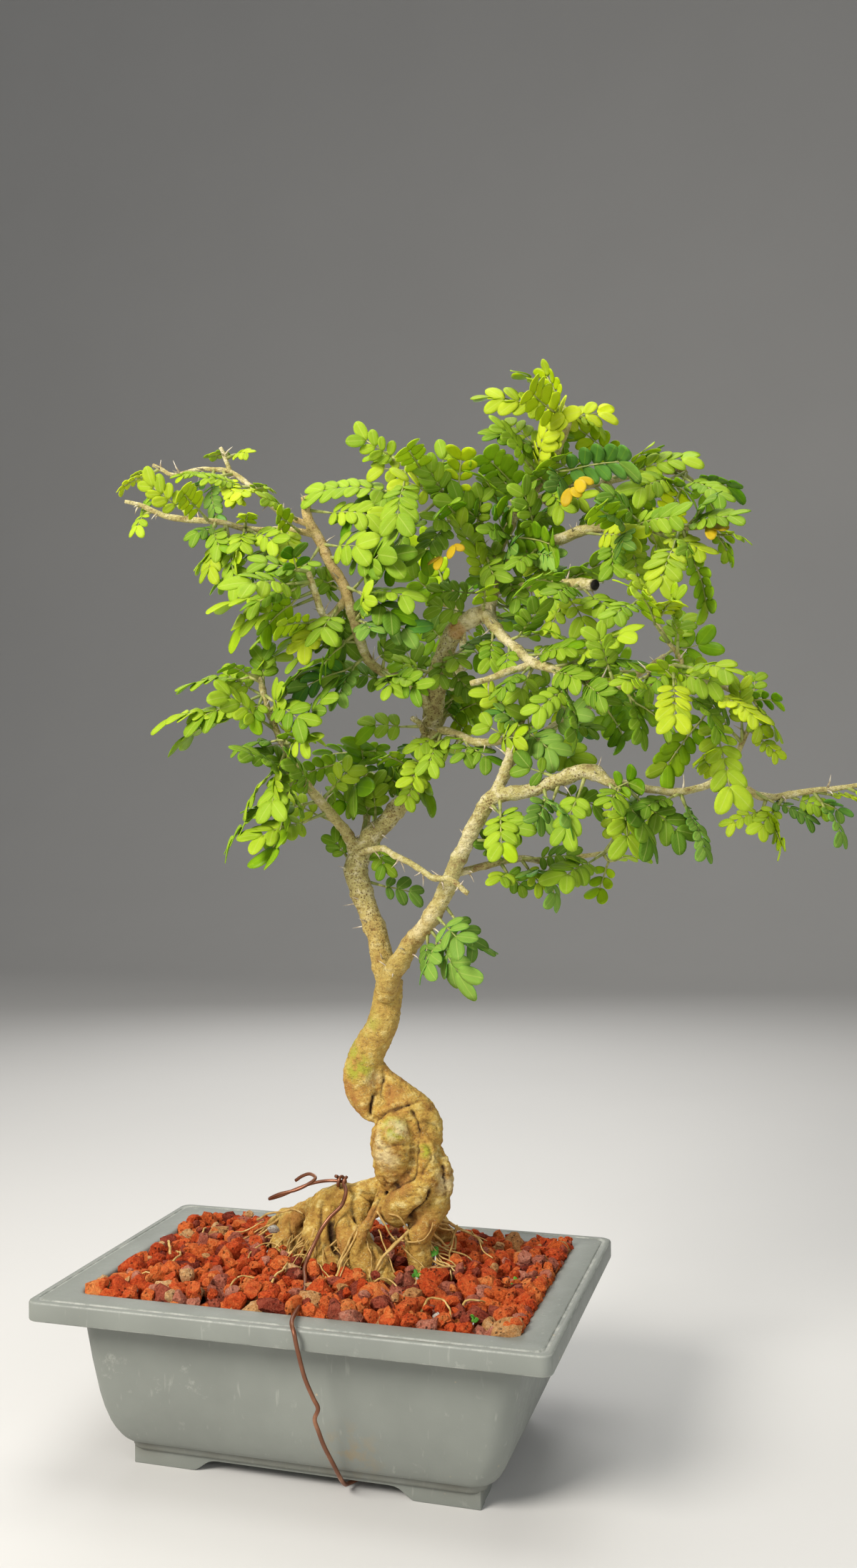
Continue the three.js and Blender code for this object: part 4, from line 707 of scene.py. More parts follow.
class Shader:
    """A material's node tree, with short calls for the nodes that the finishes share"""

    def __init__(self, name):
        old = bpy.data.materials.get(name)
        if old is not None:
            bpy.data.materials.remove(old)
        self.material = bpy.data.materials.new(name)
        self.material.use_nodes = True
        self.nodes = self.material.node_tree.nodes
        self.links = self.material.node_tree.links
        self.surface = self.nodes["Principled BSDF"]

    def add(self, kind, inputs=None, **settings):
        node = self.nodes.new(kind)
        for key, value in settings.items():
            setattr(node, key, value)
        for key, value in (inputs or {}).items():
            self.feed(node.inputs[key], value)
        return node

    def feed(self, socket, value):
        if isinstance(value, bpy.types.NodeSocket):
            self.links.new(value, socket)
        else:
            socket.default_value = value

    def place(self):
        return self.add("ShaderNodeTexCoord").outputs["Object"]

    # The object's place, with its height drawn in or out
    def stretched_place(self, upward):
        inputs = {"Vector": self.place(), "Scale": (1.0, 1.0, upward)}
        return self.add("ShaderNodeMapping", inputs).outputs["Vector"]

    def attribute(self, name):
        return self.add("ShaderNodeAttribute", attribute_name=name, attribute_type="GEOMETRY").outputs["Fac"]

    def noise(self, scale, detail=3, roughness=0.55, vector=None):
        inputs = {"Vector": vector or self.place(), "Scale": scale, "Detail": detail, "Roughness": roughness}
        return self.add("ShaderNodeTexNoise", inputs).outputs["Fac"]

    # How far each place lies from the nearest of many scattered points
    def cells(self, scale):
        inputs = {"Vector": self.place(), "Scale": scale}
        return self.add("ShaderNodeTexVoronoi", inputs).outputs["Distance"]

    def math(self, operation, a, b=0.0, clamp=False):
        return self.add("ShaderNodeMath", {0: a, 1: b}, operation=operation, use_clamp=clamp).outputs[0]

    def times(self, a, b):
        return self.math("MULTIPLY", a, b)

    # Two values in one, with the given share of the first
    def blend(self, a, b, share):
        return self.math("ADD", self.times(a, share), self.times(b, 1 - share))

    def span(self, value, low, high, out_low=0.0, out_high=1.0):
        inputs = {"Value": value, "From Min": low, "From Max": high, "To Min": out_low, "To Max": out_high}
        return self.add("ShaderNodeMapRange", inputs, clamp=True).outputs["Result"]

    def ramp(self, value, *stops):
        node = self.add("ShaderNodeValToRGB", {"Fac": value})
        ramp = node.color_ramp
        while len(ramp.elements) < len(stops):
            ramp.elements.new(0.5)
        for element, (position, colour) in zip(ramp.elements, stops):
            element.position = position
            element.color = (*colour, 1)
        return node.outputs["Color"]

    def mix(self, amount, a, b):
        node = self.add("ShaderNodeMix", data_type="RGBA")
        a, b = (c if isinstance(c, bpy.types.NodeSocket) else (*c, 1) for c in (a, b))
        self.feed(node.inputs["Factor"], amount)
        self.feed(node.inputs[6], a)
        self.feed(node.inputs[7], b)
        return node.outputs[2]

    def bump(self, height, distance, strength=1.0, under=None):
        inputs = {"Height": height, "Distance": distance, "Strength": strength}
        if under is not None:
            inputs["Normal"] = under
        return self.add("ShaderNodeBump", inputs).outputs["Normal"]

    # A soft round patch about a point of the tree, 1 in its middle and 0 outside its radius
    def patch(self, centre, radius):
        middle = Vector(centre) * MM + POT_MIDDLE
        away = self.add("ShaderNodeVectorMath", {0: self.place(), 1: middle}, operation="DISTANCE")
        return self.span(away.outputs["Value"], 0.0, radius * MM, 1.0, 0.0)

    def patches(self, rows):
        total = 0.0
        for centre, radius in rows:
            total = self.math("ADD", total, self.patch(centre, radius), clamp=True)
        return total

    def finish(self, colour, roughness, normal=None, **constants):
        self.feed(self.surface.inputs["Base Color"], colour)
        self.feed(self.surface.inputs["Roughness"], roughness)
        if normal is not None:
            self.feed(self.surface.inputs["Normal"], normal)
        for key, value in constants.items():
            self.surface.inputs[key.replace("_", " ").title().replace("Ior", "IOR")].default_value = value
        return self.material


# Marks on the bark: the middle of each patch and its radius
ALGAE_PATCHES = [
    ((10, 0, 149.5), 8.5), ((27, -6.5, 128), 8), ((38.2, -3, 118.5), 4), ((5, 3, 158), 7), ((13, 0, 168), 8),
]
# Painted light: paler bark where the bulb, the knob, the elbow and the leaders are lit
PAINTED_LIGHT_PATCHES = [
    ((17, 1, 145), 5), ((28, -6, 127), 7), ((45, 2, 106), 7), ((20, -6, 123), 5), ((23, -8, 116), 8),
    ((58, 12, 333), 12), ((68, 12, 334), 9), ((75, 1, 319), 9), ((84, -6, 311), 9), ((40, -8, 208), 12),
    ((23, 1, 184), 5), ((60, -14, 243), 12),
]
SPECKLED_PATCHES = [
    ((19, 10, 192), 18), ((11, 14, 209), 20), ((4, 17, 228), 20), ((22, 21, 256), 20), ((34, 24, 280), 20),
    ((38, 22, 302), 20), ((46, 18, 322), 12), ((97, -22, 264), 18), ((70, -17, 257), 10),
]
RUSSET_PATCHES = [
    ((9, 0, 138), 10), ((26, 0, 138), 8), ((27, -3, 104), 9), ((18, -8, 90), 11), ((36, -2, 90), 8),
    ((-20, 8, 80), 12), ((3, -8, 80), 9), ((34, -3, 62), 9),
]
TAN_PATCHES = [((8, -9, 344), 12), ((0, -9, 360), 12), ((-8, -9, 376), 12)]
ELBOW_SCAR = ((49.5, 13, 326.5), 5)
CUT_END = ((110.6, -10.4, 338), 3.4)
# Between which heights above the floor, in metres, one kind of bark turns into the next
ROOTS_TO_TRUNK = (0.078, 0.112)
TRUNK_TO_NECK = (0.146, 0.166)
SMOOTH_TO_PORED = (0.17, 0.19)
TRUNK_TO_BRANCHES = (0.178, 0.226)
NECK_TO_BRANCHES = (0.190, 0.215)
# Colours of the bark's marks. The mark of the creases and shut-in places is painted shade, and the pale mark
# is painted light where the bark is lit; the others are the bark's own colours.
MARK_COLOURS = {
    "stain": (0.40, 0.22, 0.04), "mist": (0.36, 0.33, 0.07), "speck": (0.76, 0.64, 0.32),
    "pale": (0.84, 0.74, 0.44), "pore": (0.13, 0.06, 0.018), "scar": (0.62, 0.24, 0.05),
    "tan": (0.66, 0.43, 0.16), "neck": (0.47, 0.345, 0.09), "crack": (0.14, 0.062, 0.018),
    "wrinkle": (0.20, 0.09, 0.022), "hollow": (0.045, 0.016, 0.005), "cut": (0.012, 0.008, 0.006),
}


def bark_material(settings):
    shader = Shader("bark")
    coarse = shader.noise(170, 5, 0.62)
    fine = shader.noise(1000, 4, 0.7)
    wrinkles = shader.noise(330, 5, 0.65, shader.stretched_place(2.1))
    height = shader.add("ShaderNodeSeparateXYZ", {0: shader.place()}).outputs["Z"]

    tone = shader.blend(coarse, wrinkles, 0.62)
    low = shader.ramp(
        tone, (0.34, (0.26, 0.11, 0.018)), (0.45, (0.52, 0.29, 0.055)), (0.53, settings.root_colour),
        (0.64, (0.88, 0.70, 0.27)),
    )
    high = shader.ramp(
        tone, (0.34, (0.27, 0.18, 0.07)), (0.5, settings.branch_colour), (0.62, (0.76, 0.68, 0.42))
    )
    colour = shader.mix(shader.span(height, *TRUNK_TO_BRANCHES), low, high)

    def mark(amount, name):
        return shader.mix(amount, colour, MARK_COLOURS[name])

    roots = shader.span(height, *ROOTS_TO_TRUNK, 0.75, 0.0)
    colour = mark(shader.times(roots, shader.span(coarse, 0.36, 0.6, 1.0, 0.35)), "stain")
    russet = shader.span(shader.patches(RUSSET_PATCHES), 0.05, 0.5)
    russet = shader.times(russet, shader.span(coarse, 0.36, 0.6, 0.85, 0.25))
    colour = shader.mix(russet, colour, settings.russet_colour)
    algae = shader.span(shader.patches(ALGAE_PATCHES), 0.1, 0.6)
    algae = shader.times(algae, shader.span(shader.noise(260, 3), 0.38, 0.56))
    colour = shader.mix(shader.times(algae, 0.8), colour, settings.algae_colour)
    colour = mark(shader.times(shader.span(shader.noise(60, 2), 0.5, 0.7), 0.16), "mist")
    specks = shader.span(shader.cells(900), 0.14, 0.30, 1.0, 0.0)
    specks = shader.times(specks, shader.span(shader.noise(200, 2), 0.42, 0.58))
    colour = mark(shader.times(specks, 0.6), "speck")
    # Painted light on the lit patches of the bark
    for centre, radius in PAINTED_LIGHT_PATCHES:
        spot = shader.span(shader.patch(centre, radius), 0.05, 0.7, 0.0, 0.55)
        colour = mark(shader.times(spot, shader.span(coarse, 0.38, 0.52)), "pale")

    speckled = shader.span(shader.patches(SPECKLED_PATCHES), 0.0, 0.45, 0.25, 1.0)
    pores = shader.span(shader.cells(1000), 0.30, 0.46, 1.0, 0.0)
    pores = shader.times(pores, shader.span(shader.noise(420, 3), 0.36, 0.50))
    pores = shader.times(shader.times(pores, speckled), shader.span(height, *SMOOTH_TO_PORED))
    pores = shader.times(pores, shader.span(fine, 0.36, 0.56, 1.0, 0.55))
    colour = mark(shader.times(pores, 0.92), "pore")

    scar = shader.span(shader.patch(*ELBOW_SCAR), 0.1, 0.45)
    colour = mark(shader.times(scar, shader.span(coarse, 0.36, 0.5, 1.0, 0.5)), "scar")
    for centre, radius in TAN_PATCHES:
        colour = mark(shader.span(shader.patch(centre, radius), 0.0, 0.6, 0.0, 0.6), "tan")
    neck = shader.times(shader.span(height, *TRUNK_TO_NECK), shader.span(height, *NECK_TO_BRANCHES, 1.0, 0.0))
    colour = mark(shader.times(neck, 0.45), "neck")
    colour = mark(shader.span(fine, 0.32, 0.44, 0.6, 0.0), "crack")
    colour = mark(shader.span(wrinkles, 0.32, 0.42, 0.4, 0.0), "wrinkle")
    # Painted shade, darkest where the skin is shut in and along the bottoms of the creases
    colour = mark(shader.attribute("hollow"), "hollow")
    colour = mark(shader.span(shader.patch(*CUT_END), 0.18, 0.42), "cut")

    normal = shader.bump(wrinkles, 0.0014, 0.8)
    normal = shader.bump(fine, 0.0006, 1.0, normal)
    normal = shader.bump(specks, 0.0003, 0.7, normal)
    normal = shader.bump(pores, 0.0003, -0.6, normal)
    return shader.finish(colour, 0.72, normal, specular_ior_level=0.3)


def thorn_material():
    shader = Shader("thorn")
    colour = shader.ramp(shader.noise(500, 2), (0.3, (0.36, 0.26, 0.16)), (0.7, (0.72, 0.66, 0.52)))
    return shader.finish(colour, 0.5)


def fine_root_material():
    shader = Shader("fine_root")
    stops = ((0.3, (0.30, 0.16, 0.04)), (0.55, (0.58, 0.38, 0.11)), (0.75, (0.76, 0.58, 0.26)))
    colour = shader.ramp(shader.noise(300, 3), *stops)
    return shader.finish(colour, 0.7, shader.bump(shader.noise(1500, 2), 0.0002, 0.6))


RUBBED_EDGE = (0.55, 0.55, 0.50)
# The dark of the painted shade under the flange and on the skirt
PAINTED_SHADE_COLOUR = (0.115, 0.105, 0.075)
RUST_STAIN = (0.30, 0.22, 0.11)
STAIN_PLACE = ((22, -50, 17), 16)
STONE_DUST = (0.52, 0.40, 0.24)


def pot_material(settings):
    shader = Shader("pot_plastic")
    darker, lighter = (tuple(c * share for c in settings.colour) for share in (0.90, 1.08))
    colour = shader.ramp(shader.noise(28, 3), (0.3, darker), (0.7, lighter))
    scratches = shader.noise(150, 5, 0.75)
    scuff = shader.times(shader.span(scratches, 0.60, 0.70), shader.span(shader.noise(45, 2), 0.50, 0.62))
    colour = shader.mix(shader.times(scuff, 0.5), colour, settings.scuff_colour)
    streak = shader.noise(420, 2, vector=shader.stretched_place(0.16))
    colour = shader.mix(shader.span(streak, 0.66, 0.76, 0.0, 0.35), colour, settings.scuff_colour)
    rubbed = shader.times(shader.span(shader.attribute("edge"), 0.2, 1.0), shader.span(scratches, 0.40, 0.62))
    colour = shader.mix(shader.times(rubbed, 0.5), colour, RUBBED_EDGE)
    # Painted shade under the flange and on the skirt above the feet, blotched by noise
    grime = shader.times(shader.attribute("grime"), shader.span(shader.noise(90, 4), 0.35, 0.65, 0.3, 1.0))
    colour = shader.mix(shader.times(grime, 0.55), colour, PAINTED_SHADE_COLOUR)
    stain = shader.times(shader.patch(*STAIN_PLACE), shader.span(shader.noise(180, 3), 0.46, 0.6))
    colour = shader.mix(shader.times(stain, 0.6), colour, RUST_STAIN)
    dust = shader.span(shader.cells(160), 0.05, 0.09, 0.6, 0.0)
    dust = shader.times(dust, shader.span(shader.noise(33, 2), 0.56, 0.62))
    colour = shader.mix(dust, colour, STONE_DUST)
    roughness = shader.span(scratches, 0.3, 0.7, 0.42, 0.6)
    normal = shader.bump(shader.noise(2500, 2), 0.00006, 0.5)
    normal = shader.bump(scratches, 0.0002, 0.35, normal)
    return shader.finish(colour, roughness, normal, specular_ior_level=0.4)


# The almost black of the painted shade inside the stones' pits
PIT_SHADE_COLOUR = (0.03, 0.006, 0.003)


def stone_material(name, dark, mid, light):
    shader = Shader(name)
    grain = shader.span(shader.noise(620, 4, 0.7), 0.3, 0.7)
    value = shader.blend(shader.attribute("tone"), grain, 0.45)
    colour = shader.ramp(value, (0.15, dark), (0.5, mid), (0.88, light))
    # Pits sunk by the bump and darkened almost to black: painted shade inside the pores
    hole = shader.span(shader.cells(560), 0.14, 0.36, 1.0, 0.0)
    hole = shader.times(hole, shader.span(shader.noise(240, 2), 0.44, 0.54))
    colour = shader.mix(shader.times(hole, 0.85), colour, PIT_SHADE_COLOUR)
    powder = shader.span(shader.noise(1700, 2), 0.54, 0.70, 0.0, 0.4)
    colour = shader.mix(powder, colour, light)
    normal = shader.bump(shader.math("SUBTRACT", grain, hole), 0.0012, 1.0)
    normal = shader.bump(shader.noise(2200, 3, 0.7), 0.0004, 0.9, normal)
    return shader.finish(colour, 0.92, normal, specular_ior_level=0.2)


def copper_material(settings):
    shader = Shader("copper")
    patina = shader.noise(90, 3)
    colour = shader.ramp(
        patina, (0.3, (0.15, 0.055, 0.028)), (0.55, settings.colour), (0.75, (0.42, 0.20, 0.11))
    )
    roughness = shader.span(patina, 0.3, 0.7, 0.45, 0.3)
    return shader.finish(colour, roughness, shader.bump(shader.noise(1400, 2), 0.00005, 0.3), metallic=0.6)


# A leaflet's face: its colour by tone, a pale midrib and side veins along its own UV map
def leaf_material(name, deep, bright, vein, vein_amount, roughness):
    shader = Shader(name)
    leaf = shader.add("ShaderNodeUVMap", uv_map="leaf").outputs["UV"]
    split = shader.add("ShaderNodeSeparateXYZ", {0: leaf})
    along, across = split.outputs["X"], split.outputs["Y"]
    out = shader.math("ABSOLUTE", shader.math("SUBTRACT", across, 0.5))
    mottle = shader.noise(240, 3)
    value = shader.blend(shader.attribute("tone"), mottle, 0.75)
    colour = shader.ramp(value, (0.15, deep), (0.85, bright))
    rib = shader.span(out, 0.012, 0.045, 1.0, 0.0)
    slant = shader.times(shader.math("SUBTRACT", along, shader.times(out, 0.8)), 7.0)
    side = shader.math("ABSOLUTE", shader.math("SUBTRACT", shader.math("FRACT", slant), 0.5))
    lines = shader.math("MAXIMUM", rib, shader.span(side, 0.0, 0.09, 0.35, 0.0))
    colour = shader.mix(shader.times(lines, vein_amount), colour, vein)
    normal = shader.bump(lines, 0.00015, -0.4)
    normal = shader.bump(mottle, 0.0004, 0.3, normal)
    material = shader.finish(
        colour, roughness, normal, subsurface_weight=0.12, subsurface_scale=0.001, specular_ior_level=0.12
    )
    shader.surface.inputs["Subsurface Radius"].default_value = (0.5, 1.0, 0.1)
    return material


def stalk_material():
    shader = Shader("leaf_stalk")
    colour = shader.ramp(shader.noise(200, 2), (0.3, (0.20, 0.26, 0.05)), (0.7, (0.42, 0.42, 0.12)))
    return shader.finish(colour, 0.5)


# The wood


# A path with the small swellings, bends and growth nodes of a real twig
def knotty_path(name, step):
    path = smooth_path(LIMBS[name], step)
    draw = seeded_random(sum(ord(letter) for letter in name))
    walks = [0]
    for a, b in zip(path, path[1:]):
        walks.append(walks[-1] + (b.xyz - a.xyz).length)
    nodes, next_node = [], 6 + 8 * draw()
    for walked in walks[1:]:
        if walked > next_node:
            nodes.append(walked)
            next_node = walked + 8 + 9 * draw()
    knotty = []
    for point, walked in zip(path, walks):
        here = point.xyz
        swell = sum(math.exp(-(((walked - node) / 1.3) ** 2)) for node in nodes)
        grown = point.w * (1 + 0.13 * swell + 0.07 * noise.noise(here / 4))
        if 0 < len(knotty) < len(path) - 1:
            here = here + (noise.noise_vector(here / 9) * 0.45 + noise.noise_vector(here / 3.3) * 0.2)
        knotty.append(Vector((*here, grown)))
    return knotty


# Tubes joined into one skin by a voxel remesh, as a bmesh in millimetres
def fused_tubes(paths, voxel):
    bm = bmesh.new()
    for path in paths:
        grow_tube(bm, path, BARK_SIDES)
    mesh = bare_mesh(bm, "joining")
    rough = bpy.data.objects.new("joining", mesh)
    bpy.context.scene.collection.objects.link(rough)
    remesh = rough.modifiers.new("join", "REMESH")
    remesh.mode = "VOXEL"
    remesh.voxel_size = voxel
    evaluated = rough.evaluated_get(bpy.context.evaluated_depsgraph_get())
    joined = bmesh.new()
    joined.from_mesh(evaluated.to_mesh())
    evaluated.to_mesh_clear()
    bpy.data.objects.remove(rough)
    bpy.data.meshes.remove(mesh)
    return joined


# Grooves where the strands of the trunk press together: the points of each, its depth and its width
CREASES = [
    (
        [(19, 5.9, 148.7), (19, 3.8, 145.6), (18.1, 2.7, 141.7), (16.5, 1, 138), (15.5, -0.6, 134.8),
         (14.6, -0.5, 131.3), (13.9, 0.3, 129.4)], 2.7, 0.9,
    ),
    (
        [(14.9, 0.9, 128.5), (18.1, -1.3, 130), (21.1, -2, 132.3), (24.3, -1.6, 133.8),
         (27.7, -1, 134.7), (31.2, 0.2, 136), (34.4, 3.6, 136.9)], 2, 1.1,
    ),
    (
        [(17.8, 2.6, 140), (18.5, 2.4, 137.2), (20.8, 0.7, 135.4), (23, -0.3, 135.7),
         (22.8, 1.2, 138.3), (21.8, 2.6, 142.5), (20.4, 4.3, 145.6)], 0.9, 0.5,
    ),
    ([(26.1, 6.1, 143.5), (27.1, 4.1, 141.9), (27, 2.2, 140)], 0.9, 0.6),
    (
        [(32.7, 0.1, 127.9), (36.2, 0.2, 128.9), (39.3, 2.8, 128.5), (41.5, 4.3, 126.9),
         (42.2, 4.9, 124.8)], 1, 0.6,
    ),
    (
        [(31.6, 0, 135.2), (32.6, 0.4, 131.5), (34, -0.2, 128.9), (35.1, -0.1, 125.8),
         (35.2, -0.6, 123.4)], 1.8, 0.9,
    ),
    (
        [(16.1, -3.7, 117.6), (20.8, -7.8, 119.4), (24.3, -8.4, 120.3), (27.4, -7.8, 120.9),
         (30.6, -5.8, 120.9), (33, -2.1, 120.2), (35, -1.9, 121.4)], 1, 0.6,
    ),
    ([(29.8, -6.2, 117.9), (31.9, -3.4, 116.2), (34.6, -2.7, 116.8)], 0.7, 0.5),
    ([(28.1, -6.5, 114.8), (30.4, -4.4, 113.8), (32.8, -1.7, 113.9)], 0.4, 0.5),
    (
        [(35.2, -1.5, 122.2), (34.9, -2.6, 118.7), (34.3, -2.8, 114.6), (34.1, -3.2, 111.3),
         (33.6, -4.5, 108.2), (29.7, -3.5, 105.7), (26.4, -1.7, 103.8), (22.6, -0.3, 101.5)], 2.2, 1,
    ),
    ([(21.1, -3.7, 106.8), (22.2, -2.5, 104.3), (23.4, -1.5, 103)], 1.2, 0.8),
    (
        [(36.1, -0.5, 123.4), (39.8, -2.1, 120.3), (41.5, -2.1, 117.1), (40.9, -3, 114.7),
         (39.1, -3.9, 112.6), (37.6, -4.8, 110.2), (39.8, -4.4, 110.2), (41.7, -2.8, 111.6)], 1.2, 0.6,
    ),
    ([(41.9, -1.3, 117.7), (42.7, -0.1, 114.7), (43.9, 1.7, 112.1)], 0.8, 0.6),
    (
        [(41.9, 7.7, 114.7), (44.2, 1.9, 112), (45.2, 1.2, 107.8), (45.7, 1.5, 103.2),
         (45.9, 2.5, 99)], 1.4, 0.6,
    ),
    ([(41.6, -1.4, 118.3), (41.4, 5.6, 116.9)], 0.9, 0.6),
    (
        [(41.1, -4.2, 104.9), (40.7, -3.7, 102), (39.4, -3.3, 99), (37.1, -3.8, 96.4),
         (34.5, -4.1, 94.1), (32.3, -2.7, 91.3), (30.7, -1.6, 86.6)], 2.4, 1,
    ),
    ([(31.5, -6.4, 102.4), (32.5, -6.8, 101.4), (33.7, -6.8, 101.8)], 1, 0.7),
    ([(37.5, -5.8, 100.9), (38.3, -4.8, 99.6)], 0.8, 0.6),
    (
        [(22.1, -3.1, 105.3), (20.3, 0.4, 101.7), (18.8, -0.5, 98.4), (18, -3.5, 95.8),
         (17.1, -6.3, 92.6), (15.9, -9, 87.6)], 1.4, 0.8,
    ),
    ([(17.3, 3.1, 101.1), (16.8, -0.1, 98.2)], 1.3, 0.7),
    ([(-3.1, 3.9, 88.7), (-2.6, 0.1, 83.5), (-0.5, -3.3, 79), (2.5, -5, 75.7), (5.7, -6.9, 73.2)], 2, 1),
    ([(4.8, 2.6, 94.3), (7.3, -0.8, 90.8), (9.9, -2.3, 87.8)], 2, 1.1),
    ([(8.5, -8.6, 82.4), (7.8, -10, 77.7), (8.6, -10, 73.3), (11.2, -9.9, 69.6)], 2, 1),
    ([(-7.7, 3.8, 93.1), (-7, 1, 88.7), (-6.4, -2.2, 83.9), (-5.8, -5.4, 79.2), (-7.8, -6.7, 74.8)], 2, 1.1),
    ([(16.5, -8.2, 86.9), (17.4, -6.7, 80.6), (20.3, -11, 76.6)], 1.6, 0.9),
    ([(-18.7, 10.7, 85.1), (-19.8, 12.6, 79.1), (-17.5, 6, 75)], 1.4, 0.9),
    ([(-25.5, 10.8, 82.7), (-23.6, 9.3, 78), (-21.3, 8.4, 74.3)], 1.2, 0.9),
    ([(19, -7.9, 79.1), (19.8, -12.2, 75.5), (20.2, -15.1, 70.9)], 1.2, 0.7),
    ([(7, 7.9, 98.8), (9.5, 7, 96.9), (12.1, 8.2, 96.8), (16.7, 2.2, 99.9)], 0.9, 0.8),
    ([(0.1, 5.3, 91.5), (5.3, -2.2, 89.9), (8.3, -5.6, 86.1)], 1, 0.8),
]
SHELTER_RAYS = 10
SHELTER_REACH = 11


# How deep the grooves are at each place, and how near it is to their bottom, where a line of painted shade
# goes
def groove_depth(places):
    depth, line = np.zeros(len(places)), np.zeros(len(places))
    for points, deep, wide in CREASES:
        for i in range(len(points) - 1):
            a, b = np.array(points[i], float), np.array(points[i + 1], float)
            run = b - a
            t = np.clip(((places - a) @ run) / (run @ run), 0, 1)
            gap = np.linalg.norm(places - a - t[:, None] * run, axis=1)
            walked = (i + t) / (len(points) - 1)
            taper = np.minimum(1, 0.3 + 4 * np.minimum(walked, 1 - walked))
            depth = np.maximum(depth, deep * taper * np.exp(-gap / wide))
            # The line of painted shade along the bottom of each groove
            dark = taper * min(1, 0.4 + deep / 3)
            line = np.maximum(line, dark * np.exp(-((gap / (0.6 * wide)) ** 2)))
    return depth, line


# How far each point of a skin is shut in by the skin around it, from 0 in the open to 1
def shelter(bm):
    tree = BVHTree.FromBMesh(bm)
    draw = seeded_random(3)
    ways = [random_direction(draw) for _ in range(SHELTER_RAYS)]
    shut = []
    for vert in bm.verts:
        start = vert.co + vert.normal * 0.25
        total = 0
        for way in ways:
            heading = (vert.normal * 1.05 + way).normalized()
            distance = tree.ray_cast(start, heading, SHELTER_REACH)[3]
            if distance is not None:
                total += 1 - distance / SHELTER_REACH
        shut.append(total / SHELTER_RAYS)
    return shut


# From 0 at one height to 1 at another, in millimetres
def risen(z, start, end):
    return min(1, max(0, (z - start) / (end - start)))


# Bark relief on a fused skin, and a value of painted shade that is high where the skin is shut in and along
# the bottoms of the grooves
def weather_bark(bm, coarse, fine, root_relief=0):
    bmesh.ops.smooth_vert(bm, verts=bm.verts, factor=0.5, use_axis_x=True, use_axis_y=True, use_axis_z=True)
    bm.normal_update()
    bm.verts.ensure_lookup_table()
    places = np.array([vert.co + noise.noise_vector(vert.co / 2.4) * 0.6 for vert in bm.verts])
    grooves, lines = groove_depth(places)
    for vert, groove in zip(bm.verts, grooves):
        here = vert.co.copy()
        low = risen(here.z, 102, 90) * root_relief
        lumps = noise.noise(here / 6.5) * coarse
        knots = noise.noise(Vector((here.x / 3.2, here.y / 3.2, here.z / 6))) * low
        knots += noise.noise(here / 5.5) * low * 0.9
        ripple = noise.noise(Vector((here.x / 2.2, here.y / 2.2, here.z / 1.3))) * fine
        grain = noise.noise(here / 0.9) * fine * 0.5
        creased = root_relief * risen(here.z, 92, 100) * risen(here.z, 142, 132)
        folds = noise.noise(Vector((here.x / 7, here.y / 7, here.z / 1.8))) * 0.6 * creased
        vert.co = here + vert.normal * (lumps + knots + ripple + grain + folds - groove)
    bm.normal_update()
    # Painted shade: the shut-in places and the groove bottoms are stored for the bark to darken
    hollow = bm.verts.layers.float.new("hollow")
    for vert, line, shut in zip(bm.verts, lines, shelter(bm)):
        vert[hollow] = min(1, max(0, shut * 1.9 - 0.35) + 0.8 * line)


# Which run of the noise shapes the bark, so that it comes out the same each time
NOISE_SEED = 1
# Steps between the rings of the thick and the thin wood along its path, and the sides of a ring
BARK_STEP = 1.5
BARK_SIDES = 20
TWIG_STEP = 1.1
TWIG_SIDES = 10
HAIR_ROOTS = 90
HAIR_ROOT_LIMBS = (
    "front_root", "middle_root", "left_root", "right_strand", "front_root", "middle_root", "far_left_root",
)
HAIR_ROOT_POINTS = 6
# Limbs that start as low or as thick as this bear no thorns
THORNLESS_HEIGHT = 150
THORNLESS_RADIUS = 5.5
THORN_GAP = 15
THORN_LENGTH = 5.5


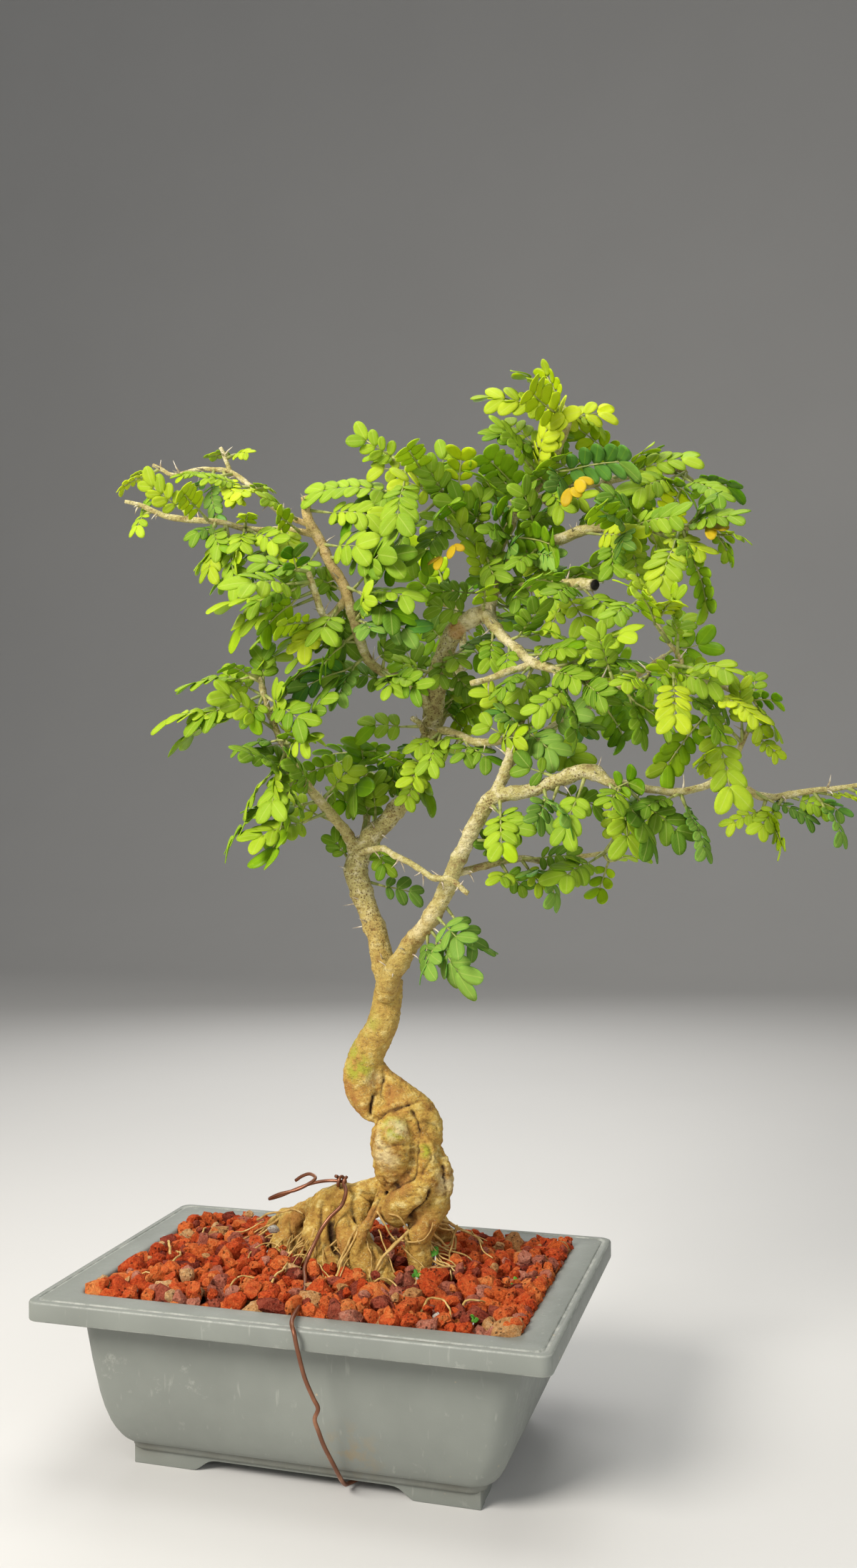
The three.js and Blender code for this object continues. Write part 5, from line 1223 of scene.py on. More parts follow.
class BONSAI_OT_wood(bpy.types.Operator):
    """Grow the trunk, roots, branches, fine roots and thorns in bark"""

    bl_idname = "bonsai.wood"
    bl_label = "Trunk, branches and roots"

    def execute(self, context):
        settings = context.scene.bonsai_wood
        noise.seed_set(NOISE_SEED)
        bark = bark_material(settings)
        voxel = settings.skin_grain / MM

        roots = [LIMBS[name] for name in TRUNK_LIMBS if name not in BRAIDED_LIMBS]
        trunk = fused_tubes([smooth_path(points, BARK_STEP) for points in TRUNK_FORMS + roots], voxel)
        weather_bark(trunk, coarse=0.5, fine=0.3, root_relief=0.9)
        leaders = fused_tubes([knotty_path(name, BARK_STEP) for name in LEADING_LIMBS], voxel * 0.9)
        weather_bark(leaders, coarse=0.3, fine=0.22)
        twigs = bmesh.new()
        for name in LIMBS:
            if name not in TRUNK_LIMBS and name not in LEADING_LIMBS:
                grow_tube(twigs, knotty_path(name, TWIG_STEP), TWIG_SIDES)

        for name, bm, material in (
            ("trunk_and_roots", trunk, bark), ("leading_branches", leaders, bark),
            ("side_branches", twigs, bark),
            ("fine_roots", self.fine_roots(), fine_root_material()),
            ("thorns", self.thorns(), thorn_material()),
        ):
            make_piece(name, mesh_of(bm, name), [material], ("trunk_and_branches",))
        return {"FINISHED"}

    # The listed roots, and many thinner ones that leave the root mass and dive among the stones
    def fine_roots(self):
        bm = bmesh.new()
        for points in FINE_ROOTS:
            listed = [(*p, 0.72 - 0.08 * i) for i, p in enumerate(points)]
            grow_tube(bm, self.wandering(smooth_path(listed, 1.6), 0.5), 7)
        draw = seeded_random(23)
        for points in SURFACE_ROOTS:
            thick = 0.34 + 0.28 * draw()
            listed = []
            for i, (x, y, z) in enumerate(points):
                buried = 3 if i in (0, len(points) - 1) else 0
                top = soil_height(x, y) + LOOSE_STONES - buried
                listed.append((x, y, max(z, top), thick * (1 - 0.1 * i)))
            grow_tube(bm, self.wandering(smooth_path(listed, 1.5), 0.7), 6)
        for _ in range(HAIR_ROOTS):
            self.hair_root(bm, draw)
        return bm

    def hair_root(self, bm, draw):
        name = HAIR_ROOT_LIMBS[int(draw() * len(HAIR_ROOT_LIMBS))]
        middle, radius, _ = point_on_limb(name, 0.25 + 0.6 * draw())
        heading = Vector((spread(draw, 1), -0.25 - draw() * 0.9, 0))
        if name == "right_strand":
            heading = Vector((0.8, spread(draw, 1), 0))
            middle, radius, _ = point_on_limb(name, 0.7 + 0.2 * draw())
        heading.normalize()
        start = middle + heading * radius * 0.6
        reach = 14 + 26 * draw()
        thick = 0.22 + 0.3 * draw()
        bend = heading.cross(Vector((0, 0, 1))) * spread(draw, 10)
        ground = soil_height(*(start + heading * reach).xy)
        points = []
        for k in range(HAIR_ROOT_POINTS):
            t = k / (HAIR_ROOT_POINTS - 1)
            here = start + heading * reach * t + bend * math.sin(2.2 * t)
            fall = (1 - t) ** 1.6
            here.z = start.z * fall + ground * (1 - fall) + 3.5 * math.sin(math.pi * t) * draw()
            if t == 1:
                here.z = ground - 5
            points.append((*here, thick * (1 - 0.55 * t)))
        grow_tube(bm, self.wandering(smooth_path(points, 1.8), 0.8), 6)

    def wandering(self, path, reach):
        moved = []
        for i, point in enumerate(path):
            shift = noise.noise_vector(point.xyz / 5) * reach if 0 < i < len(path) - 1 else Vector((0, 0, 0))
            moved.append(Vector((*(point.xyz + shift), point.w)))
        return moved

    # Pairs of slim spines at the growth nodes of the younger wood
    def thorns(self):
        bm = bmesh.new()
        draw = seeded_random(11)
        for name, points in LIMBS.items():
            _, _, height, radius = points[0]
            if height <= THORNLESS_HEIGHT or radius >= THORNLESS_RADIUS:
                continue
            path = smooth_path(points, 4)
            length = sum((b.xyz - a.xyz).length for a, b in zip(path, path[1:]))
            pairs = max(1, int(length / THORN_GAP))
            for pair in range(pairs):
                middle, radius, along = point_on_limb(name, (pair + 0.35 + 0.5 * draw()) / pairs)
                out = random_lean(draw).cross(along).normalized()
                for side in (-1, 1):
                    heading = (out + along.cross(out) * 0.75 * side + along * 0.35).normalized()
                    foot = middle + heading * radius * 0.4
                    tip = middle + heading * (radius + THORN_LENGTH * (0.55 + 0.55 * draw()))
                    halfway = foot.lerp(tip, 0.5) + along * 0.3
                    grow_tube(bm, [Vector((*foot, 0.52)), Vector((*halfway, 0.3)), Vector((*tip, 0.06))], 6)
        return bm


# The leaves


LEAFLET_ALONG = 5
LEAFLET_ACROSS = 4
# The index of a spray's materials on its undersides and its stalks
UNDERSIDE, STALK = 1, 2
VEIN_COLOUR = (0.46, 0.62, 0.02)
UNDERSIDE_VEIN_COLOUR = (0.5, 0.56, 0.14)
# What an underside is tinted with, where its face is bright and where it is deep
BRIGHT_UNDERSIDE = (0.34, 0.42, 0.04)
DEEP_UNDERSIDE = (0.17, 0.25, 0.03)
UNDERSIDE_TINT = 0.35
# Deep, bright and vein colours of a yellowed leaf and of a seedling's
YELLOWED_COLOURS = ((0.36, 0.22, 0.008), (0.56, 0.40, 0.012), (0.5, 0.42, 0.04))
SEEDLING_COLOURS = ((0.05, 0.20, 0.02), (0.16, 0.46, 0.05), (0.4, 0.6, 0.2))


class Foliage:
    """The leaflets and stalks of one spray, in millimetres"""

    def __init__(self):
        self.leaflets = bmesh.new()
        self.tone = self.leaflets.verts.layers.float.new("tone")
        self.leaf_uv = self.leaflets.loops.layers.uv.new("leaf")
        self.stalks = bmesh.new()

    # One obovate leaflet in a pinna's plane, from a point on the rib, leaning away from it
    def leaflet(self, pinna, foot, lean, side, length, draw, tone):
        width = length * (0.30 + 0.06 * draw())
        tilt, roll = spread(draw, 0.22), spread(draw, 0.28)
        cup = (0.04 + 0.10 * draw()) * length
        droop = (0.02 + 0.09 * draw()) * length
        lean += spread(draw, 0.1)
        cos, sin = math.cos(lean), math.sin(lean) * side
        made = bmesh.ops.create_grid(
            self.leaflets, x_segments=LEAFLET_ALONG, y_segments=LEAFLET_ACROSS, size=1, calc_uvs=False
        )["verts"]
        for vert in made:
            x, y = vert.co.x, vert.co.y
            u = x * math.sqrt(1 - y * y / 2)
            v = y * math.sqrt(1 - x * x / 2)
            s = (u + 1) / 2
            vert[self.tone] = tone
            wide = v * width * (0.80 + 0.34 * s - 0.12 * s * s)
            reach = s * length + 0.08 * length * v * side * (1 - s)
            for loop in vert.link_loops:
                loop[self.leaf_uv].uv = (s, 0.5 + 0.5 * v)
            along = foot + reach * cos + wide * sin
            across = reach * sin - wide * cos
            lift = pinna.lift(along, across) + tilt * reach * 0.6 + roll * wide * side
            lift += cup * (v * v - 0.3) * 0.5 - droop * s * s
            vert.co = pinna.point(along, across, lift)

    def stalk(self, points, thick, thin):
        last = len(points) - 1
        path = [(*p, thick + (thin - thick) * i / last) for i, p in enumerate(points)]
        grow_tube(self.stalks, smooth_path(path, 3), 5, material=STALK)

    def mesh(self, name, thickness):
        top = list(self.leaflets.faces)
        for face in bmesh.ops.solidify(self.leaflets, geom=top, thickness=thickness)["geom"]:
            if isinstance(face, bmesh.types.BMFace):
                face.material_index = UNDERSIDE
        join_in(self.leaflets, self.stalks)
        bmesh.ops.recalc_face_normals(self.leaflets, faces=self.leaflets.faces)
        return mesh_of(self.leaflets, name)


class Pinna:
    """The plane of one pinna: its rib runs from the origin, and its face looks along the given way"""

    def __init__(self, origin, along, length, facing):
        self.face = (facing - along * facing.dot(along)).normalized()
        self.origin = origin
        self.along = along
        self.side = self.face.cross(along)
        self.length = length

    def lift(self, s, w):
        t = min(1, max(0, s / self.length))
        return 4 * ARCH * self.length * t * (1 - t) - DROOP * w * w / self.length

    def point(self, s, w, lift):
        return self.origin + self.along * s + self.side * w + self.face * lift

    # Pairs of leaflets along the rib, and one pair at its end
    def fill(self, foliage, draw, tone, youth):
        size = (0.17 * self.length + 4.4) * (0.9 + 0.3 * draw()) * youth
        rib = max(0.45 * self.length, self.length - 0.9 * size)
        pairs = max(2, round(rib / (0.56 * size)) + 1)
        steps = [s * rib for s in (0, 0.33, 0.66, 1)]
        foliage.stalk([self.point(s, 0, self.lift(s, 0) - 0.2) for s in steps], 0.45, 0.26)
        for k in range(pairs):
            part = k / (pairs - 1)
            foot = rib * (k + 0.35) / (pairs - 0.35) if k < pairs - 1 else rib
            lean = math.radians(70 - 34 * part)
            for side in (-1, 1):
                shade = min(1, max(0, tone + spread(draw, 0.22)))
                length = size * (0.8 + 0.32 * part) * (0.9 + 0.2 * draw())
                foliage.leaflet(self, foot, lean, side, length, draw, shade)


# Which way a leaf of the solids' sprays faces, by the same rule as its blade
def blade_facing(origin, draw):
    outward = origin - CROWN_MIDDLE
    outward.z = 0
    facing = random_lean(draw) * 1.5 + outward.normalized() * 0.5
    facing.z += 0.7
    return facing


# The leaves between them turn more to the light, at the front and at the back of the crown
def light_facing(origin, draw):
    return random_lean(draw) * 1.1 + (FRONT_LIGHT if origin.y < CROWN_BACK else BACK_LIGHT)


# Old leaves that have turned yellow: the place and the heading of each
YELLOW_LEAVES = [
    ((101, -8, 376), (0.2, -0.3, -1)), ((104, -9, 379), (0.7, -0.2, -0.6)),
    ((56, -14, 356), (0.4, -0.4, -0.9)), ((50, -12, 352), (-0.6, -0.3, -0.8)),
    ((153, -9, 358), (0.6, -0.3, -0.7)), ((30, 66, 352), (0.3, 0.5, -0.8)),
]


# The stems and pinnae of one spray, by the same rule and seed as its solid
def grow_spray(foliage, row, facing):
    limb, at, _, seed, tips = row
    draw = seeded_random(seed)
    middle, radius, _ = point_on_limb(limb, at)
    ends = []
    for tip in tips:
        jitter = Vector(((draw() - 0.5) * 5, (draw() - 0.5) * 9, (draw() - 0.5) * 5))
        ends.append(Vector(tip) + jitter)
    heart = sum(ends, Vector((0, 0, 0))) / len(ends)
    reach = (heart - middle).length
    fork = middle.lerp(heart, max(0.22, (radius + 4) / reach))
    foliage.stalk([middle, middle.lerp(fork, 0.6), fork], 0.85, 0.6)
    for i, end in enumerate(ends):
        span = (end - fork).length
        length = min(LONGEST_PINNA, max(SHORTEST_PINNA, span * 0.86))
        rib = max(0, span - length)
        along = (end - fork).normalized()
        origin = fork + along * rib
        pinna = Pinna(origin, along, length, facing(origin, draw))
        own = seeded_random(seed * 13 + i * 101 + int(end.x * 3 + end.z * 7))
        if rib > 0.5:
            foliage.stalk([fork, origin], 0.55, 0.45)
        pinna.fill(foliage, own, 0.1 + 0.8 * own(), YOUNG_LIMBS.get(limb, 1))


class BONSAI_OT_foliage(bpy.types.Operator):
    """Grow every leafy spray with its pinnae and leaflets"""

    bl_idname = "bonsai.foliage"
    bl_label = "Leafy sprays"

    def execute(self, context):
        settings = context.scene.bonsai_leaves
        thickness = settings.thickness / MM
        stalk = stalk_material()
        finishes = [self.finishes(settings, tone) + [stalk] for tone in LEAF_TONES]
        for name, tone, rows, facing, replaced in self.clusters():
            foliage = Foliage()
            for row in rows:
                grow_spray(foliage, row, facing)
            make_piece(name, foliage.mesh(name, thickness), finishes[tone], replaced)
        self.yellow_leaves(thickness, stalk)
        return {"FINISHED"}

    # The face and the duller underside of one tone's leaflets
    def finishes(self, settings, tone):
        deep, bright = getattr(settings, tone + "_deep"), getattr(settings, tone + "_bright")
        duller = [
            tuple((1 - UNDERSIDE_TINT) * a + UNDERSIDE_TINT * b for a, b in zip(colour, tint))
            for colour, tint in ((deep, DEEP_UNDERSIDE), (bright, BRIGHT_UNDERSIDE))
        ]
        return [
            leaf_material("leaf_" + tone, deep, bright, VEIN_COLOUR, 0.16, 0.4),
            leaf_material(f"leaf_{tone}_underside", *duller, UNDERSIDE_VEIN_COLOUR, 0.3, 0.6),
        ]

    # Each piece of foliage: its name, tone, sprays, how its leaves face, and the node it replaces
    def clusters(self):
        made = []
        for i, row in enumerate(SPRAYS, 1):
            made.append((f"leaf_spray_{i:02d}", row[2], [row], blade_facing, (f"spray_{i:02d}",)))
        for i, row in enumerate(FILLING_SPRAYS, 1):
            made.append((f"filling_spray_{i:02d}", row[2], [row], light_facing, ()))
        for tone, (title, leaves) in enumerate(CROWN_LEAVES.items()):
            rows = [(limb, at, tone, seed, [tip]) for limb, at, seed, *tip in leaves]
            for start in range(0, len(rows), LEAVES_A_CLUSTER):
                name = f"crown_leaves_{title}_{start // LEAVES_A_CLUSTER + 1:02d}"
                made.append((name, tone, rows[start:start + LEAVES_A_CLUSTER], light_facing, ()))
        return made

    def yellow_leaves(self, thickness, stalk):
        foliage = Foliage()
        draw = seeded_random(17)
        for place, heading in YELLOW_LEAVES:
            facing = FRONT_LIGHT if place[1] < CROWN_BACK else BACK_LIGHT
            pinna = Pinna(Vector(place), Vector(heading).normalized(), LONGEST_PINNA / 2, facing)
            for side in (-1, 1):
                foliage.leaflet(pinna, 0, 0.5, side, 5.5 + 2.5 * draw(), draw, draw())
        top = leaf_material("leaf_yellow", *YELLOWED_COLOURS, 0.2, 0.5)
        make_piece("yellow_leaves", foliage.mesh("yellow_leaves", thickness), [top, top, stalk])


# The pot


FOOT_HEIGHT = 6
RECESS_HEIGHT = 4.5
FOOT_BOARD = 6
FOOT_HALF_LENGTH = 69.7
FOOT_HALF_WIDTH = 40.2
# The pot's section: half length, half width, height and corner radius, up the outside and down the inside
POT_SECTION = [
    (60, 30, 6, 6), (70, 40.5, 6, 6), (71, 41.5, 6.3, 6), (71.5, 42, 7.4, 6), (71.5, 42, 9, 6),
    (71.9, 42.3, 9.4, 6.4), (73, 43.1, 9.5, 7.6), (74, 43.9, 9.8, 8.2), (75.3, 45, 10.8, 8.8),
    (76.4, 45.8, 12, 9), (78.1, 47.1, 14.8, 9), (79.6, 48.2, 18, 9), (81.2, 49.5, 23, 9),
    (82.6, 50.6, 29, 9), (85, 52, 42, 9), (87.2, 53, 55.8, 9), (88.2, 53.6, 65.2, 8.4),
    (88.7, 54, 65.8, 8), (89.4, 54.6, 66, 8), (98.2, 63.2, 66, 3.4), (98.9, 63.9, 65.7, 3),
    (98.9, 63.9, 61.4, 3), (99.2, 64.2, 61, 3.2), (101, 66, 61, 3.9), (101.4, 66.4, 61.3, 4),
    (101.5, 66.5, 61.8, 4), (101.5, 66.5, 67.6, 4), (101.3, 66.3, 68.2, 4), (100.8, 65.8, 68.5, 4),
    (99.5, 64.5, 68.5, 4), (99.2, 64.2, 68.4, 4), (98.9, 63.9, 68, 4), (98, 63, 68, 4),
    (97.7, 62.7, 68.4, 4), (97.4, 62.4, 68.5, 4), (88.9, 54.1, 68.5, 5), (88.1, 53.3, 68.4, 5.2),
    (87.2, 52.4, 68, 5.6), (86.6, 51.8, 67.2, 6), (86.2, 51.5, 64, 7), (85.2, 51, 55.8, 7),
    (83, 50, 42, 7), (80.6, 48.6, 29, 7), (77.4, 46, 18, 7), (73.5, 43, 12, 7), (70.5, 40.5, 9.5, 6),
    (60, 30, 9.5, 6),
]
CORNER_STEPS = 8
DRAIN_OFFSET = 45
DRAIN_RADIUS = 7
# Heights of the rim's rubbed edges and of the bands under the flange and on the skirt that get painted shade,
# with the reach of each
RUBBED_HEIGHTS = ((67.9, 68.45), (61, 61.5))
LIP_REACH = (97, 62)
UNDER_FLANGE, FLANGE_REACH = (65, 66.1), (98.5, 63.5)
SKIRT_HEIGHTS = (6.2, 9.6)


# Where a point of a rounded rectangle lies, from its place on a ring of equal steps at each corner
def rounded_point(index, half_length, half_width, z, radius):
    corner, step = divmod(index, CORNER_STEPS + 1)
    sign_x = 1 if corner in (0, 3) else -1
    sign_y = 1 if corner < 2 else -1
    turn = math.pi / 2 * (corner + step / CORNER_STEPS)
    x = sign_x * (half_length - radius) + radius * math.cos(turn)
    return Vector((x, sign_y * (half_width - radius) + radius * math.sin(turn), z))


# The edges that run along a closed ring of vertices
def ring_edges(verts):
    ring = set(verts)
    return [e for e in edges_of(verts) if ring.issuperset(e.verts)]


# A skin through rounded rectangles, from the first section row to the last
def loft_sections(bm, rows):
    count = 4 * (CORNER_STEPS + 1)
    first = bmesh.ops.create_circle(bm, cap_ends=False, segments=count, radius=1)["verts"]
    first.sort(key=lambda vert: math.atan2(vert.co.y, vert.co.x) % (2 * math.pi))
    verts = first
    for number, row in enumerate(rows):
        if number:
            grown = bmesh.ops.extrude_edge_only(bm, edges=ring_edges(verts))["geom"]
            fresh = {g for g in grown if isinstance(g, bmesh.types.BMVert)}
            follow = {v: e.other_vert(v) for v in verts for e in v.link_edges if e.other_vert(v) in fresh}
            verts = [follow[vert] for vert in verts]
        for index, vert in enumerate(verts):
            vert.co = rounded_point(index, *row)
    return first, verts


# One side of the base between two corner feet, with the shallow arch that parts them
def foot_board(bm, half_length, foot_length, matrix):
    inner = half_length - foot_length
    top = FOOT_HEIGHT + 1
    curve = [(0, 0), (2.2, 0.3), (4, 1.4), (5.5, 2.6), (7.2, 3.7), (9, 4.3), (11, RECESS_HEIGHT)]
    left = [(-inner + x, z) for x, z in curve]
    right = [(-x, z) for x, z in reversed(left)]
    outline = [(-half_length, top), (-half_length, 0), *left, *right, (half_length, 0), (half_length, top)]
    verts = [bm.verts.new((x, 0, z)) for x, z in outline]
    face = bm.faces.new(verts)
    grown = bmesh.ops.extrude_face_region(bm, geom=[face])["geom"]
    moved = [g for g in grown if isinstance(g, bmesh.types.BMVert)]
    bmesh.ops.translate(bm, vec=(0, FOOT_BOARD, 0), verts=moved)
    board = verts + moved
    edges = [e for e in edges_of(board) if e.calc_face_angle(0) > math.radians(40)]
    bevelled = bmesh.ops.bevel(
        bm, geom=edges, offset=0.35, offset_type="OFFSET", segments=2, profile=0.5, affect="EDGES",
        material=-1,
    )
    parts = set(bevelled["verts"]) | {v for v in board if v.is_valid}
    bmesh.ops.transform(bm, matrix=matrix, verts=list(parts))


class BONSAI_OT_pot(bpy.types.Operator):
    """Mould the rectangular training pot with its flange, skirt and feet"""

    bl_idname = "bonsai.pot"
    bl_label = "Plastic pot"

    def execute(self, context):
        bm = bmesh.new()
        first, last = loft_sections(bm, POT_SECTION)
        self.floor_with_drains(bm, first, POT_SECTION[0][2])
        self.floor_with_drains(bm, last, POT_SECTION[-1][2])
        self.drain_walls(bm)
        bmesh.ops.remove_doubles(bm, verts=bm.verts, dist=0.01)
        bmesh.ops.recalc_face_normals(bm, faces=bm.faces)
        long_edges = [e for e in bm.edges if e.calc_length() > 30]
        bmesh.ops.subdivide_edges(bm, edges=long_edges, cuts=5, use_grid_fill=True)
        join_in(bm, self.feet())
        self.wear(bm)
        mesh = mesh_of(bm, "plastic_pot")
        make_piece("plastic_pot", mesh, [pot_material(context.scene.bonsai_pot)], ("pot",))
        mesh.set_sharp_from_angle(angle=math.radians(50))
        return {"FINISHED"}

    def feet(self):
        half_turn = Matrix.Rotation(math.pi, 4, "Z")
        quarter = Matrix.Rotation(math.pi / 2, 4, "Z")
        front = Matrix.Translation((0, -FOOT_HALF_WIDTH, 0))
        side = Matrix.Translation((0, 0.25 - FOOT_HALF_LENGTH, 0))
        boards = bmesh.new()
        for matrix in (front, half_turn @ front):
            foot_board(boards, FOOT_HALF_LENGTH, 24, matrix)
        for matrix in (quarter @ side, quarter @ half_turn @ side):
            foot_board(boards, FOOT_HALF_WIDTH - 3, 11.8, matrix)
        bmesh.ops.recalc_face_normals(boards, faces=boards.faces)
        return boards

    # Marks the edges that get rubbed, and the places under the flange and on the skirt that get painted shade
    def wear(self, bm):
        edge = bm.verts.layers.float.new("edge")
        grime = bm.verts.layers.float.new("grime")
        for vert in bm.verts:
            x, y, z = abs(vert.co.x), abs(vert.co.y), vert.co.z
            outer = x > LIP_REACH[0] or y > LIP_REACH[1]
            vert[edge] = float(outer and any(low < z < high for low, high in RUBBED_HEIGHTS))
            flange = x < FLANGE_REACH[0] and y < FLANGE_REACH[1] and UNDER_FLANGE[0] < z < UNDER_FLANGE[1]
            vert[grime] = float(flange or SKIRT_HEIGHTS[0] < z < SKIRT_HEIGHTS[1])

    # The flat floor inside a ring, with the two drain holes left open
    def floor_with_drains(self, bm, ring, z):
        rims = []
        for x in (-DRAIN_OFFSET, DRAIN_OFFSET):
            made = bmesh.ops.create_circle(
                bm, cap_ends=False, segments=24, radius=DRAIN_RADIUS, matrix=Matrix.Translation((x, 0, z))
            )["verts"]
            rims += list(edges_of(made))
        edges = ring_edges(ring) + rims
        bmesh.ops.triangle_fill(bm, use_beauty=True, use_dissolve=False, edges=edges, normal=(0, 0, 1))

    def drain_walls(self, bm):
        for x in (-DRAIN_OFFSET, DRAIN_OFFSET):
            rims = [
                e for e in bm.edges
                if all(abs((v.co.xy - Vector((x, 0))).length - DRAIN_RADIUS) < 0.01 for v in e.verts)
                and (e.verts[0].co.z - e.verts[1].co.z) == 0 and len(e.link_faces) == 1
            ]
            bmesh.ops.bridge_loops(bm, edges=rims)


# The soil


SOIL_HALF_LENGTH = 87
SOIL_HALF_WIDTH = 52
SOIL_EDGE_LEVEL = 62.8
SOIL_MIDDLE_LEVEL = 66.8
LOOSE_STONES = 8
ROW_GAP = 0.87
# Layers of stones: how far apart they lie, how deep they sink and their size beside the top ones
STONE_LAYERS = ((8.2, 3.4, 1), (7.6, -0.4, 0.96), (9, -2, 0.5))
# The dark, middle and light colour of each kind of stone, and its share of the heap
STONE_COLOURS = {
    "rust": ((0.30, 0.026, 0.006), (0.66, 0.078, 0.014), (0.84, 0.20, 0.05), 0.46),
    "orange": ((0.44, 0.062, 0.012), (0.80, 0.15, 0.028), (0.90, 0.32, 0.09), 0.22),
    "mauve": ((0.23, 0.050, 0.028), (0.50, 0.14, 0.080), (0.68, 0.29, 0.19), 0.13),
    "maroon": ((0.10, 0.013, 0.007), (0.28, 0.040, 0.018), (0.46, 0.11, 0.06), 0.11),
    "tan": ((0.40, 0.16, 0.050), (0.66, 0.32, 0.11), (0.80, 0.52, 0.26), 0.08),
}
# The bed's top, from this height up, is lowered by so much for the loose stones, in metres
BED_LOWERED_FROM = 0.052
BED_LOWERED_BY = 0.0052
STONE_FACETS = 9
BED_COLOURS = ((0.02, 0.006, 0.004), (0.06, 0.016, 0.01), (0.12, 0.04, 0.02))
PERLITE_COLOURS = ((0.52, 0.47, 0.38), (0.74, 0.70, 0.60), (0.86, 0.83, 0.74))
# The larger white grains: where each lies and its size
PERLITE_SPOTS = [
    (-27, -1.5, 82.5, 4.6), (-20, 33, 73, 3.4), (14, 0, 81, 4.4), (33.5, -17, 69, 3.2), (58, 12, 69, 2.6),
]
SMALL_GRAINS = 18
# The seedlings: where each stands and how tall it is
SEEDLINGS = [
    (41, 2, 70.5, 9), (38, -9, 70, 5), (72, 8, 66.5, 6), (79, -2, 66, 7), (66, -38, 66, 5), (-52, 8, 68, 4),
]


def soil_height(x, y):
    reach = min(1, (x / 88) ** 2 + (y / 54) ** 2)
    return SOIL_MIDDLE_LEVEL + (SOIL_EDGE_LEVEL - SOIL_MIDDLE_LEVEL) * reach


